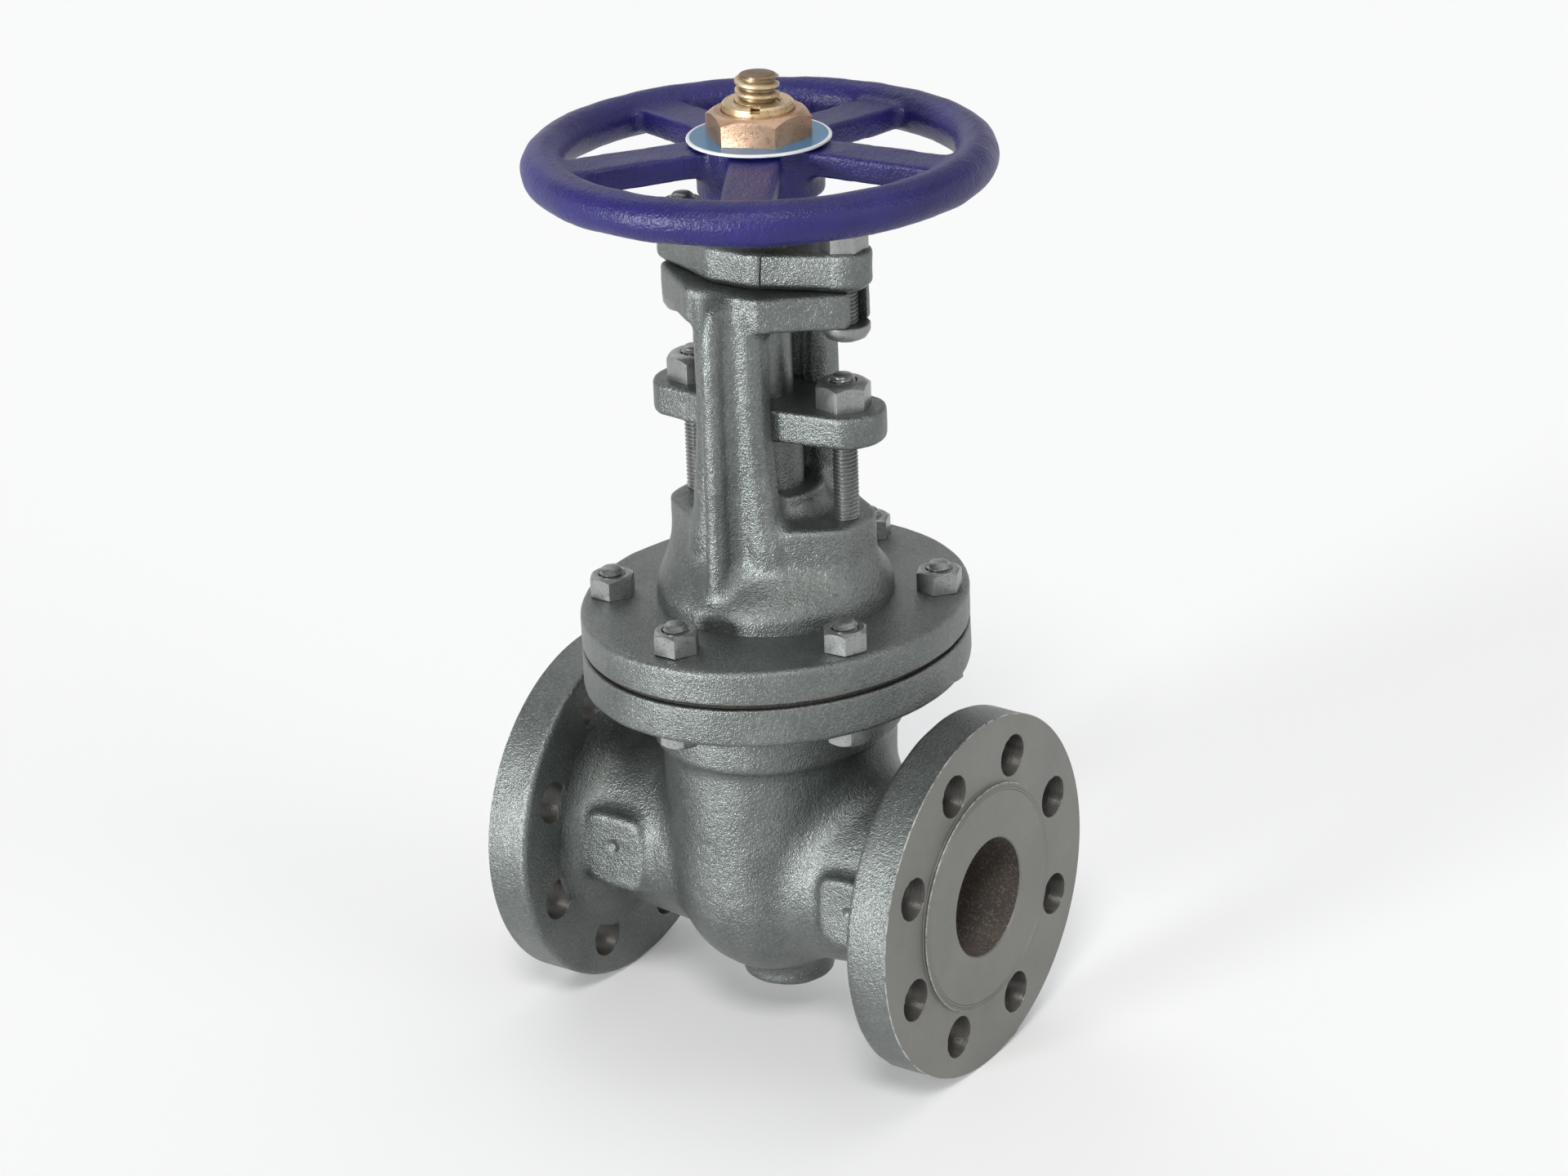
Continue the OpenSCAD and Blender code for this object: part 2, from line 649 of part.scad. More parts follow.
body();
bonnet();
bonnet_gasket();
bonnet_bolt_1();
bonnet_bolt_2();
bonnet_bolt_3();
bonnet_bolt_4();
bonnet_bolt_5();
bonnet_bolt_6();
bonnet_nut_1();
bonnet_nut_2();
bonnet_nut_3();
bonnet_nut_4();
bonnet_nut_5();
bonnet_nut_6();
yoke_cap();
cap_bolt_left();
cap_bolt_right();
cap_nut_left();
cap_nut_right();
gland_follower();
gland_stud_left();
gland_stud_right();
gland_nut_left();
gland_nut_right();
yoke_sleeve();
handwheel();
handwheel_nut();
identification_plate();
stem();
wedge();
inlet_seat_ring();
outlet_seat_ring();
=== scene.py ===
# %% [markdown]
# # An outside screw and yoke gate valve
# The valve is an iron casting with two pipe flanges, a bolted bonnet that grows into
# a yoke, and a handwheel that turns a bronze sleeve and so lifts the stem.
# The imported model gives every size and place. This lesson dresses it: castings get
# their fillets and sandy skin, bolts get threads, and bronze gets its turned lines.

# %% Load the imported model
import math

import bmesh
import bpy
import numpy as np
from mathutils import Matrix, Vector, noise


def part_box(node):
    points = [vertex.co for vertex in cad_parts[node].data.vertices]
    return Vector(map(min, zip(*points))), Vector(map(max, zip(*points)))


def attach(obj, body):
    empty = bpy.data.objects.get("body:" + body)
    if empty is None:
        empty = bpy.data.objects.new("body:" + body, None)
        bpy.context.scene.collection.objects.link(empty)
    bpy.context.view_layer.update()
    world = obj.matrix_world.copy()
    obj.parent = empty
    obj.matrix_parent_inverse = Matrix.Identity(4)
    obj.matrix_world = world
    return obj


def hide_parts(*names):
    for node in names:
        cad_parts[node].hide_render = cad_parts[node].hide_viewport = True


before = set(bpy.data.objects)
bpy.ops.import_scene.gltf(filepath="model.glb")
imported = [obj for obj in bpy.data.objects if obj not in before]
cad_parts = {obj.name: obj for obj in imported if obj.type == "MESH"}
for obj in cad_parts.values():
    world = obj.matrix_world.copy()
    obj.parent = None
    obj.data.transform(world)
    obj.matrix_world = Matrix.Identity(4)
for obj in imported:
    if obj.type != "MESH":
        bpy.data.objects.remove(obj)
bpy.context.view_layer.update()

# %% [markdown]
# ## Measuring from the model
# Every shape below is drawn in millimetres from the stem's axis, with the flow axis
# at height zero, because a valve is dimensioned that way. One step turns it to metres.

# %% Sizes read from the model
MM = 0.001
body_low, body_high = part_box("body")
stem_x = (body_low.x + body_high.x) / 2
to_metres = Matrix.Translation((stem_x, 0, 0)) @ Matrix.Scale(MM, 4)


def box_mm(node):
    """Lowest and highest corner of a node, in millimetres from the stem's axis."""
    low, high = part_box(node)
    shift = Vector((stem_x, 0, 0))
    return (low - shift) / MM, (high - shift) / MM


half_length = box_mm("body")[1].x
joint_top = box_mm("body")[1].z
flange_r = -box_mm("body")[0].z
bonnet_low, bonnet_high = box_mm("bonnet")
bar_top = bonnet_high.z
cap_low, cap_high = box_mm("yoke_cap")
gland_low, gland_high = box_mm("gland_follower")
sleeve_low, sleeve_high = box_mm("yoke_sleeve")
wheel_low, wheel_high = box_mm("handwheel")
plate_low, plate_high = box_mm("identification_plate")
nut_low, nut_high = box_mm("handwheel_nut")
stem_low, stem_high = box_mm("stem")
print(f"half length {half_length:.2f} mm, joint {joint_top:.1f} mm, stem top {stem_high.z:.1f} mm")

# %% [markdown]
# ## Camera, floor and light
# The camera stands a little above the handwheel and to the right of the front arm.
# A long lens keeps the flanges round. The floor is plain and pale, and soft lamps
# stand round the valve as in a light tent.

# %% Camera
def link_object(name, data):
    made = bpy.data.objects.new(name, data)
    bpy.context.scene.collection.objects.link(made)
    return made


aim = Vector((4.4, 0.0, 126.4))
azimuth, elevation, roll = math.radians(34.7), math.radians(22.6), math.radians(-2.1)
distance, focal_share, sensor_width = 1812.0, 2.618, 36

away = Vector((math.sin(azimuth) * math.cos(elevation), -math.cos(azimuth) * math.cos(elevation),
               math.sin(elevation)))
level = Vector((math.cos(azimuth), math.sin(azimuth), 0))
upright = away.cross(level)
across = level * math.cos(roll) + upright * math.sin(roll)
above = upright * math.cos(roll) - level * math.sin(roll)
camera_data = bpy.data.cameras.new("camera")
camera_data.sensor_width, camera_data.lens = sensor_width, sensor_width * focal_share
camera_data.clip_start, camera_data.clip_end = 0.05, 60
camera = link_object("camera", camera_data)
camera.matrix_world = Matrix.Translation(to_metres @ (aim + away * distance)) @ Matrix(
    (across, above, away)).transposed().to_4x4()
bpy.context.scene.camera = camera
print(f"lens {camera_data.lens:.1f} mm, {distance:.0f} mm from the stem")


# %% Shader helpers
def feed(tree, socket, value):
    """Links a socket to another one, or sets its value. A colour of three gets its alpha."""
    if isinstance(value, bpy.types.NodeSocket):
        tree.links.new(value, socket)
    elif socket.type == "RGBA" and len(value) == 3:
        socket.default_value = (*value, 1)
    else:
        socket.default_value = value


def node_in(tree, kind, inputs=None, **settings):
    """One shader node with its settings, and with its inputs set or linked."""
    made = tree.nodes.new(kind)
    for key, value in settings.items():
        setattr(made, key, value)
    for key, value in (inputs or {}).items():
        feed(tree, made.inputs[key], value)
    return made


def math_in(tree, operation, a, b=0.0, c=0.0, clamp=False):
    made = node_in(tree, "ShaderNodeMath", {0: a, 1: b, 2: c}, operation=operation, use_clamp=clamp)
    return made.outputs[0]


def ramp_in(tree, value, stops, interpolation="LINEAR"):
    """A colour ramp: stops are (position, grey or colour)."""
    made = node_in(tree, "ShaderNodeValToRGB", {0: value})
    ramp = made.color_ramp
    ramp.interpolation = interpolation
    while len(ramp.elements) < len(stops):
        ramp.elements.new(0.5)
    for element, (position, colour) in zip(ramp.elements, stops):
        element.position = position
        shade = colour if isinstance(colour, tuple) else (colour,) * 3
        element.color = (*shade, 1)
    return made.outputs[0]


def mix_in(tree, share, a, b):
    """Mixes two colours, each a socket or a tuple."""
    made = node_in(tree, "ShaderNodeMix", data_type="RGBA", blend_type="MIX")
    colours = [s for s in made.inputs if s.type == "RGBA"]
    for socket, value in ((made.inputs[0], share), (colours[0], a), (colours[1], b)):
        feed(tree, socket, value)
    return [s for s in made.outputs if s.type == "RGBA"][0]


def stained(tree, tone, mask, strength, colour):
    """A tone with another colour laid over it where a mask is, up to a strength."""
    return mix_in(tree, math_in(tree, "MULTIPLY", mask, strength), tone, colour)


def object_place(tree):
    return tree.nodes.new("ShaderNodeTexCoord").outputs["Object"]


def noise_in(tree, place, scale, detail, roughness):
    """Noise between 0 and 1 at a place."""
    return node_in(tree, "ShaderNodeTexNoise", {"Vector": place, "Scale": scale, "Detail": detail,
                                                "Roughness": roughness}).outputs["Fac"]


def bump_in(tree, height, distance, under=None):
    """A bump of a depth in metres, on top of another bump if one is given."""
    inputs = {"Height": height, "Distance": distance, "Strength": 1.0}
    if under is not None:
        inputs["Normal"] = under
    return node_in(tree, "ShaderNodeBump", inputs).outputs[0]


def spaced(inputs):
    """Keyword names with spaces in them, as sockets are labelled."""
    return {key.replace("_", " "): value for key, value in inputs.items()}


def new_material(name):
    material = bpy.data.materials.new(name)
    material.use_nodes = True
    material.node_tree.nodes.clear()
    return material, material.node_tree


def dressed(material, tone, rough, **more):
    """Ends a material with its shader and output, and gives it back."""
    tree = material.node_tree
    inputs = {"Base Color": tone, "Roughness": rough, **spaced(more)}
    shader = node_in(tree, "ShaderNodeBsdfPrincipled", inputs)
    node_in(tree, "ShaderNodeOutputMaterial", {0: shader.outputs[0]})
    return material


# %% Floor and light
def loose_object(bm, name="draft"):
    mesh = bpy.data.meshes.new(name)
    bm.to_mesh(mesh)
    bm.free()
    return link_object(name, mesh)


def seen_rays(tree):
    """1 for rays that see a thing, straight or mirrored, and 0 for rays that carry light."""
    rays = tree.nodes.new("ShaderNodeLightPath").outputs
    seen = math_in(tree, "ADD", rays["Is Camera Ray"], rays["Is Glossy Ray"])
    return math_in(tree, "ADD", seen, rays["Is Transmission Ray"], clamp=True)


floor_half, floor_grey, floor_glow = 14, (0.84, 0.84, 0.84), 0.17
floor_bm = bmesh.new()
bmesh.ops.create_grid(floor_bm, x_segments=1, y_segments=1, size=floor_half)
bmesh.ops.translate(floor_bm, verts=floor_bm.verts, vec=(stem_x, 0, body_low.z))
floor = loose_object(floor_bm, "floor")
floor_paper, floor_tree = new_material("floor_paper")
dressed(floor_paper, floor_grey, 0.9, Specular_IOR_Level=0.1, Emission_Color=(1, 1, 1),
        Emission_Strength=math_in(floor_tree, "MULTIPLY", seen_rays(floor_tree), floor_glow))
floor.data.materials.append(floor_paper)

world = bpy.data.worlds.new("studio")
bpy.context.scene.world = world
world.use_nodes = True
sky = world.node_tree
sky.nodes.clear()
direction = sky.nodes.new("ShaderNodeTexCoord").outputs["Generated"]
height = node_in(sky, "ShaderNodeSeparateXYZ", {0: direction}).outputs[2]
walls = ramp_in(sky, height, [(0.10, 1.0), (0.46, 0.34)])
plain_sky = node_in(sky, "ShaderNodeBackground", {"Color": (0.97, 0.98, 1.0), "Strength": 0.27})
wall_sky = node_in(sky, "ShaderNodeBackground", {"Color": walls, "Strength": 1.0})
sky_mix = node_in(sky, "ShaderNodeMixShader",
                  {0: seen_rays(sky), 1: plain_sky.outputs[0], 2: wall_sky.outputs[0]})
node_in(sky, "ShaderNodeOutputWorld", {0: sky_mix.outputs[0]})


def soft_lamp(name, azimuth_deg, elevation_deg, strength, spread_deg, colour=(1, 1, 1)):
    """A lamp far away, with soft shadows where its spread is wide. Azimuth 0 shines from the front."""
    data = bpy.data.lights.new(name, "SUN")
    data.energy, data.angle, data.color = strength, math.radians(spread_deg), colour
    lamp = link_object(name, data)
    lamp.rotation_euler = (math.radians(90 - elevation_deg), 0, math.radians(azimuth_deg))


soft_lamp("window_lamp", -14, 5, 3.5, 16, (0.96, 0.985, 1.0))
soft_lamp("front_lamp", 28, 50, 1.15, 16, (1.0, 0.99, 0.97))
soft_lamp("side_lamp", 88, 24, 0.5, 34)
soft_lamp("far_lamp", -120, 40, 0.4, 40, (0.96, 0.98, 1.0))
soft_lamp("top_lamp", 160, 70, 0.5, 50)

# %% [markdown]
# ## Shape helpers
# A turned piece is a closed outline spun round an axis. A plate is an outline that is
# extruded and has its edges rounded. A casting is several such shells, grown and
# shrunk again so that every inner corner fills with a fillet, then relaxed.


# %% Turned pieces and plates
def spun(profile, steps=96, axis="Z", mirror_x=False):
    """A closed outline of (radius, height) points, spun round the stem or the flow axis."""
    bm = bmesh.new()
    ring = [bm.verts.new((r, 0, h)) for r, h in profile]
    edges = [bm.edges.new(pair) for pair in zip(ring, ring[1:] + ring[:1])]
    bmesh.ops.spin(bm, geom=ring + edges, cent=(0, 0, 0), axis=(0, 0, 1),
                   angle=math.tau, steps=steps, use_merge=True)
    bmesh.ops.remove_doubles(bm, verts=bm.verts, dist=1e-4)
    bmesh.ops.dissolve_degenerate(bm, dist=1e-4, edges=bm.edges)
    if axis == "X":
        bmesh.ops.rotate(bm, verts=bm.verts, cent=(0, 0, 0), matrix=Matrix.Rotation(math.pi / 2, 3, "Y"))
    if mirror_x:
        bmesh.ops.scale(bm, verts=bm.verts, vec=(-1, 1, 1))
    bmesh.ops.recalc_face_normals(bm, faces=bm.faces)
    return bm


def round_bar(radius, low, high, steps=64, **turning):
    """A plain round bar, for a shell or as a drill."""
    return spun([(0, low), (radius, low), (radius, high), (0, high)], steps, **turning)


def block(placing, sizes):
    """A plain block with its sizes in X, Y and Z."""
    bm = bmesh.new()
    bmesh.ops.create_cube(bm, size=1, matrix=placing @ Matrix.Diagonal((*sizes, 1)))
    return bm


def raised(bm, rise):
    """Extrudes the flat faces of a bmesh upwards into a closed piece."""
    grown = bmesh.ops.extrude_face_region(bm, geom=bm.faces[:])
    bmesh.ops.translate(bm, vec=(0, 0, rise),
                        verts=[v for v in grown["geom"] if isinstance(v, bmesh.types.BMVert)])
    bmesh.ops.recalc_face_normals(bm, faces=bm.faces)


def bevelled(bm, edges, offset, segments=2):
    bmesh.ops.bevel(bm, geom=edges, offset=offset, segments=segments, profile=0.5,
                    affect="EDGES", material=-1)


def plate(outline, low, high, rounding=0.0):
    """An outline in X and Y, extruded from low to high, with all its edges rounded."""
    bm = bmesh.new()
    bm.faces.new([bm.verts.new((x, y, low)) for x, y in outline])
    raised(bm, high - low)
    if rounding:
        bevelled(bm, [e for e in bm.edges if e.calc_face_angle(0) > 0.3], rounding, segments=3)
    return bm


def column(rows, steps=48, outline_at=None):
    """An upright column. Each row gives height, centre x, centre y, half width x and half width y.
    An outline function may give the radius for an angle and a height instead of one."""
    heights = [row[0] for row in rows]
    bm = spun([(0, heights[0])] + [(1.0, h) for h in heights] + [(0, heights[-1])], steps)
    for v in bm.verts:
        x, y, half_x, half_y = (np.interp(v.co.z, heights, [row[k] for row in rows]) for k in (1, 2, 3, 4))
        reach = outline_at(math.atan2(v.co.y, v.co.x), v.co.z) if outline_at else 1.0
        v.co.x, v.co.y = x + v.co.x * half_x * reach, y + v.co.y * half_y * reach
    return bm


def turned_to(bm, matrix):
    bmesh.ops.transform(bm, matrix=matrix, verts=bm.verts)
    return bm


def on_circle(radius, turn, centre=(0, 0)):
    """A point on a circle, with its turn in radians."""
    return centre[0] + radius * math.cos(turn), centre[1] + radius * math.sin(turn)


def arc(centre_r, centre_h, radius, start, stop, count):
    """Points along a round corner of an outline, angles in degrees."""
    return [on_circle(radius, math.radians(start + (stop - start) * k / count), (centre_r, centre_h))
            for k in range(count + 1)]


def oval(length, width, count=96, power=2.0):
    """An oval outline, or a squarer one with a higher power."""
    points = []
    for k in range(count):
        c, s = math.cos(math.tau * k / count), math.sin(math.tau * k / count)
        points.append((length / 2 * math.copysign(abs(c) ** (2 / power), c),
                       width / 2 * math.copysign(abs(s) ** (2 / power), s)))
    return points


# %% Objects from meshes
def mesh_of(obj):
    """An object's mesh as a bmesh again. The object itself goes."""
    bm = bmesh.new()
    bm.from_mesh(obj.data)
    bpy.data.objects.remove(obj)
    return bm


def joined(shells):
    """Several shells in one object. A voxel remesh takes them as one solid."""
    whole = bmesh.new()
    for shell in shells:
        mesh = bpy.data.meshes.new("shell")
        shell.to_mesh(mesh)
        shell.free()
        whole.from_mesh(mesh)
        bpy.data.meshes.remove(mesh)
    return loose_object(whole)


def settle_modifiers(obj):
    """Turns an object's modifiers into its mesh."""
    graph = bpy.context.evaluated_depsgraph_get()
    mesh = bpy.data.meshes.new_from_object(obj.evaluated_get(graph))
    obj.modifiers.clear()
    old, obj.data = obj.data, mesh
    bpy.data.meshes.remove(old)


def remesh(obj, voxel):
    skin = obj.modifiers.new("skin", "REMESH")
    skin.mode, skin.voxel_size, skin.adaptivity = "VOXEL", voxel, 0
    settle_modifiers(obj)


def relax(obj, times):
    """Moves each point halfway towards its neighbours, a number of times."""
    bm = bmesh.new()
    bm.from_mesh(obj.data)
    for _ in range(times):
        bmesh.ops.smooth_vert(bm, verts=bm.verts, factor=0.5,
                              use_axis_x=True, use_axis_y=True, use_axis_z=True)
    bm.to_mesh(obj.data)
    bm.free()


def points_of(obj, kind="co"):
    flat = np.zeros(len(obj.data.vertices) * 3, np.float32)
    if kind == "co":
        obj.data.vertices.foreach_get("co", flat)
    else:
        obj.data.vertex_normals.foreach_get("vector", flat)
    return flat.reshape(-1, 3)


def set_points(obj, points):
    obj.data.vertices.foreach_set("co", points.astype(np.float32).ravel())
    obj.data.update()


def swell(obj, distance):
    """Moves every point along its normal by a distance, or by one distance a point."""
    amount = np.asarray(distance, float).reshape(-1, 1)
    set_points(obj, points_of(obj) + points_of(obj, "normal") * amount)


def casting(shells, fillet, voxel, rounds, draft_voxel=None):
    """One skin round several shells, with a fillet in each inner corner.
    Growing by the fillet's radius closes the corners, and shrinking by it brings the
    faces back, a little lower. The first shells go in again, so that their outer edges stay."""
    draft_voxel = draft_voxel or voxel * 1.3
    lower = 0.15
    first = joined(shells)
    grown = link_object("grown", first.data.copy())
    remesh(grown, draft_voxel)
    swell(grown, fillet)
    remesh(grown, draft_voxel)
    relax(grown, 6)
    swell(grown, -fillet - lower)
    whole = joined([mesh_of(first), mesh_of(grown)])
    remesh(whole, voxel)
    relax(whole, rounds)
    return whole


def waves_at(points, size, offset):
    """Slow noise between -1 and 1, one value a point."""
    return np.array([noise.noise(Vector(p) / size + Vector(offset)) for p in points.tolist()])


def ripple(obj, height, size, seed):
    """The slow unevenness of a sand casting: each point moves along its normal."""
    swell(obj, waves_at(points_of(obj), size, (seed, seed * 0.7, -seed)) * height)


def cut(obj, *tools):
    """Takes tools away from a piece with exact booleans."""
    for tool in tools:
        tool_obj = loose_object(tool, "tool")
        knife = obj.modifiers.new("cut", "BOOLEAN")
        knife.operation, knife.solver, knife.object = "DIFFERENCE", "EXACT", tool_obj
        settle_modifiers(obj)
        bpy.data.objects.remove(tool_obj)


def finish_piece(obj, name, material, body="valve", replaced=(), sharp=25):
    """Brings a piece to metres, shades it, gives it its material, hangs it on the empty of the body it rides
    on, and hides the model's parts it replaces.
    """
    obj.name = obj.data.name = name
    obj.data.transform(to_metres)
    obj.data.polygons.foreach_set("use_smooth", [True] * len(obj.data.polygons))
    obj.data.set_sharp_from_angle(angle=math.radians(sharp))
    obj.data.materials.clear()
    obj.data.materials.append(material)
    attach(obj, body)
    if replaced:
        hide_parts(*replaced)
    print(f"{name}: {sum(len(p.vertices) - 2 for p in obj.data.polygons)} triangles")


# %% [markdown]
# ## Finishes
# Paint over sand-cast iron is grainy, with bright points where a grain catches the
# light. Two groups serve several finishes: the sandy skin, and the fine rings that a
# lathe leaves round an axis.


# %% Sandy skin group
def new_group(name, given, results):
    """A node group that takes numbers, with the values they start from, and gives numbers."""
    group = bpy.data.node_groups.new(name, "ShaderNodeTree")
    for label, value in given.items():
        socket = group.interface.new_socket(label, in_out="INPUT", socket_type="NodeSocketFloat")
        socket.default_value = value
    for label in results:
        group.interface.new_socket(label, in_out="OUTPUT", socket_type="NodeSocketFloat")
    return group, group.nodes.new("NodeGroupInput").outputs, group.nodes.new("NodeGroupOutput")


def make_sandy_skin():
    """Height and tone of a cast skin: sand grains, larger pits and slow patches, with a mask for a painted
    highlight on the crests and one for painted shade in the hollows.
    """
    group, given, out = new_group("sandy_skin", {"Grain Scale": 900.0, "Pit Depth": 0.4},
                                  ("Height", "Painted Highlight", "Patch", "Painted Shade"))
    place, scale = object_place(group), given["Grain Scale"]
    grain = noise_in(group, place, scale, 1.0, 0.6)
    coarse = noise_in(group, place, math_in(group, "MULTIPLY", scale, 0.42), 1.0, 0.55)
    pits = node_in(group, "ShaderNodeTexVoronoi",
                   {"Vector": place, "Scale": math_in(group, "MULTIPLY", scale, 0.2), "Randomness": 1.0})
    from_pit = math_in(group, "MULTIPLY", pits.outputs["Distance"], 4.5, clamp=True)
    pit = math_in(group, "MULTIPLY", math_in(group, "SUBTRACT", 1.0, from_pit), given["Pit Depth"])
    bumps = math_in(group, "MULTIPLY_ADD", grain, 0.8, math_in(group, "MULTIPLY", coarse, 0.57))
    height = math_in(group, "SUBTRACT", bumps, pit)
    # The highlight mask marks the crests for a painted highlight, and the shade mask marks the hollows for
    # painted shade.
    outputs = {"Height": height, "Patch": noise_in(group, place, 34.0, 4.0, 0.6),
               "Painted Highlight": ramp_in(group, bumps, [(0.72, 0.0), (0.95, 1.0)]),
               "Painted Shade": ramp_in(group, height, [(0.42, 1.0), (0.62, 0.0)])}
    for label, socket in outputs.items():
        group.links.new(socket, out.inputs[label])
    return group


sandy_skin = make_sandy_skin()


# %% Lathe line group
def make_lathe_lines():
    """Fine rings round an axis. Radius is the distance from it, in metres."""
    group, given, out = new_group("lathe_lines", {"Radius": 0.0, "Lines per Metre": 3000.0},
                                  ("Height", "Streak"))
    along = math_in(group, "MULTIPLY", given["Radius"], given["Lines per Metre"])
    fine = math_in(group, "SINE", math_in(group, "MULTIPLY", along, math.tau))
    uneven = node_in(group, "ShaderNodeTexNoise",
                     {"W": math_in(group, "MULTIPLY", along, 0.23), "Scale": 1.0, "Detail": 5.0,
                      "Roughness": 0.7}, noise_dimensions="1D")
    height = math_in(group, "MULTIPLY_ADD", fine, 0.18, uneven.outputs["Fac"])
    group.links.new(height, out.inputs["Height"])
    group.links.new(uneven.outputs["Fac"], out.inputs["Streak"])
    return group


lathe_lines = make_lathe_lines()


def use_group(tree, group, **inputs):
    return node_in(tree, "ShaderNodeGroup", spaced(inputs), node_tree=group).outputs


def axis_distance(tree, axis):
    """Distance from the stem (Z) or from the flow axis (X), in metres, and the place along it."""
    moved = node_in(tree, "ShaderNodeVectorMath", {0: object_place(tree), 1: (stem_x, 0, 0)},
                    operation="SUBTRACT")
    x, y, z = node_in(tree, "ShaderNodeSeparateXYZ", {0: moved.outputs[0]}).outputs
    a, along = (x, z) if axis == "Z" else (z, x)
    square = math_in(tree, "MULTIPLY_ADD", a, a, math_in(tree, "MULTIPLY", y, y))
    return math_in(tree, "SQRT", square), along


# %% [markdown]
# ### Grey-green paint on cast iron
# The castings were dipped or sprayed with a metallic grey-green paint. Painted shade
# darkens the hollows of the grain, and a painted highlight lightens its crests. Rust
# creeps out of the joint in places.

# %% Casting paint
PAINT_DARK, PAINT_MID, PAINT_PALE = (0.130, 0.143, 0.137), (0.162, 0.176, 0.169), (0.200, 0.214, 0.206)
RUST = (0.17, 0.075, 0.028)
# Colours of the painted shade in the grain's hollows and the painted highlight on its crests.
PAINT_SHADE, PAINT_HIGHLIGHT = (0.080, 0.089, 0.084), (0.42, 0.43, 0.41)
METALLIC_FLAKE = 0.9


def casting_paint(name, grain=1500.0, depth=0.00045, rust_height=None, gloss=0.35):
    material, tree = new_material(name)
    skin = use_group(tree, sandy_skin, Grain_Scale=grain, Pit_Depth=0.3)
    tone = ramp_in(tree, skin["Patch"], [(0.3, PAINT_DARK), (0.52, PAINT_MID), (0.75, PAINT_PALE)])
    # Painted shade darkens the hollows of the grain, and a painted highlight lightens its crests.
    tone = stained(tree, tone, skin["Painted Shade"], 0.45, PAINT_SHADE)
    tone = stained(tree, tone, skin["Painted Highlight"], 0.35, PAINT_HIGHLIGHT)
    if rust_height is not None:
        place = object_place(tree)
        height = node_in(tree, "ShaderNodeSeparateXYZ", {0: place}).outputs[2]
        gap = math_in(tree, "ABSOLUTE", math_in(tree, "SUBTRACT", height, rust_height))
        near = math_in(tree, "SUBTRACT", 1.0, math_in(tree, "DIVIDE", gap, 0.0035), clamp=True)
        spots = ramp_in(tree, noise_in(tree, place, 90.0, 5.0, 0.7), [(0.5, 0.0), (0.68, 0.6)])
        tone = mix_in(tree, math_in(tree, "MULTIPLY", near, spots), tone, RUST)
    return dressed(material, tone, math_in(tree, "MULTIPLY_ADD", skin["Patch"], 0.14, gloss),
                   Metallic=METALLIC_FLAKE, Normal=bump_in(tree, skin["Height"], depth))


cast_paint = casting_paint("cast_paint")
joint_paint = casting_paint("joint_paint", rust_height=(joint_top + 0.8) * MM)
smooth_paint = casting_paint("smooth_paint", grain=1300.0, depth=0.00012, gloss=0.28)
print("paints:", cast_paint.name, joint_paint.name, smooth_paint.name)


# %% [markdown]
# ### Machined faces
# The flange faces were turned after casting, then painted thinly. Rings about a
# third of a millimetre apart still show, and the paint there is a little warmer.

# %% Machined paint
def machined_paint(name, lines, depth, across, dark, pale):
    """Lines run round the flow axis, or lie across it, as on the wall of a drilled hole."""
    material, tree = new_material(name)
    radius, along = axis_distance(tree, "X")
    rings = use_group(tree, lathe_lines, Radius=along if across else radius, Lines_per_Metre=lines)
    skin = use_group(tree, sandy_skin, Grain_Scale=1500.0, Pit_Depth=0.15)
    tone = ramp_in(tree, skin["Patch"], [(0.3, dark), (0.7, pale)])
    tone = stained(tree, tone, rings["Streak"], 0.22, tuple(c * 1.25 for c in pale))
    under = bump_in(tree, skin["Height"], 0.00008)
    return dressed(material, tone, math_in(tree, "MULTIPLY_ADD", skin["Patch"], 0.16, 0.28),
                   Metallic=0.7, Normal=bump_in(tree, rings["Height"], depth, under))


def painted_edge_highlight_finish():
    """A painted highlight along the flange's edges: pale grey, broken up by darker patches."""
    material, tree = new_material("painted_edge_highlight")
    edge_noise = noise_in(tree, object_place(tree), 260.0, 4.0, 0.7)
    tone = ramp_in(tree, edge_noise, [(0.38, (0.19, 0.19, 0.178)), (0.62, (0.52, 0.52, 0.495))])
    return dressed(material, tone, math_in(tree, "MULTIPLY", edge_noise, 0.7),
                   Metallic=0.6, Normal=bump_in(tree, edge_noise, 0.0001))


def bore_rust_finish():
    """The wall of the cored waterway: brown, rough and hardly metallic."""
    material, tree = new_material("bore_rust")
    skin = use_group(tree, sandy_skin, Grain_Scale=1700.0, Pit_Depth=0.5)
    tone = ramp_in(tree, skin["Patch"], [(0.3, (0.075, 0.064, 0.055)), (0.55, (0.12, 0.101, 0.086)),
                                         (0.75, (0.17, 0.143, 0.118))])
    # A painted highlight lightens the crests of the grain.
    tone = stained(tree, tone, skin["Painted Highlight"], 0.5, (0.55, 0.50, 0.45))
    return dressed(material, tone, math_in(tree, "MULTIPLY_ADD", skin["Patch"], 0.3, 0.5),
                   Metallic=0.2, Normal=bump_in(tree, skin["Height"], 0.0006))


painted_edge_highlight = painted_edge_highlight_finish()
bore_rust = bore_rust_finish()
hole_paint = machined_paint("hole_paint", 1700.0, 0.00022, True,
                            (0.10, 0.098, 0.090), (0.19, 0.183, 0.168))
face_paint = machined_paint("face_paint", 2600.0, 0.00009, False,
                            (0.172, 0.172, 0.161), (0.222, 0.220, 0.205))
print("machined paints:", face_paint.name, hole_paint.name)

# %% [markdown]
# ## The pipe flanges
# Each flange is turned: a raised face for the gasket, a rim left as cast, and eight
# bolt holes. It is spun round the flow axis, drilled, and its hole edges broken.

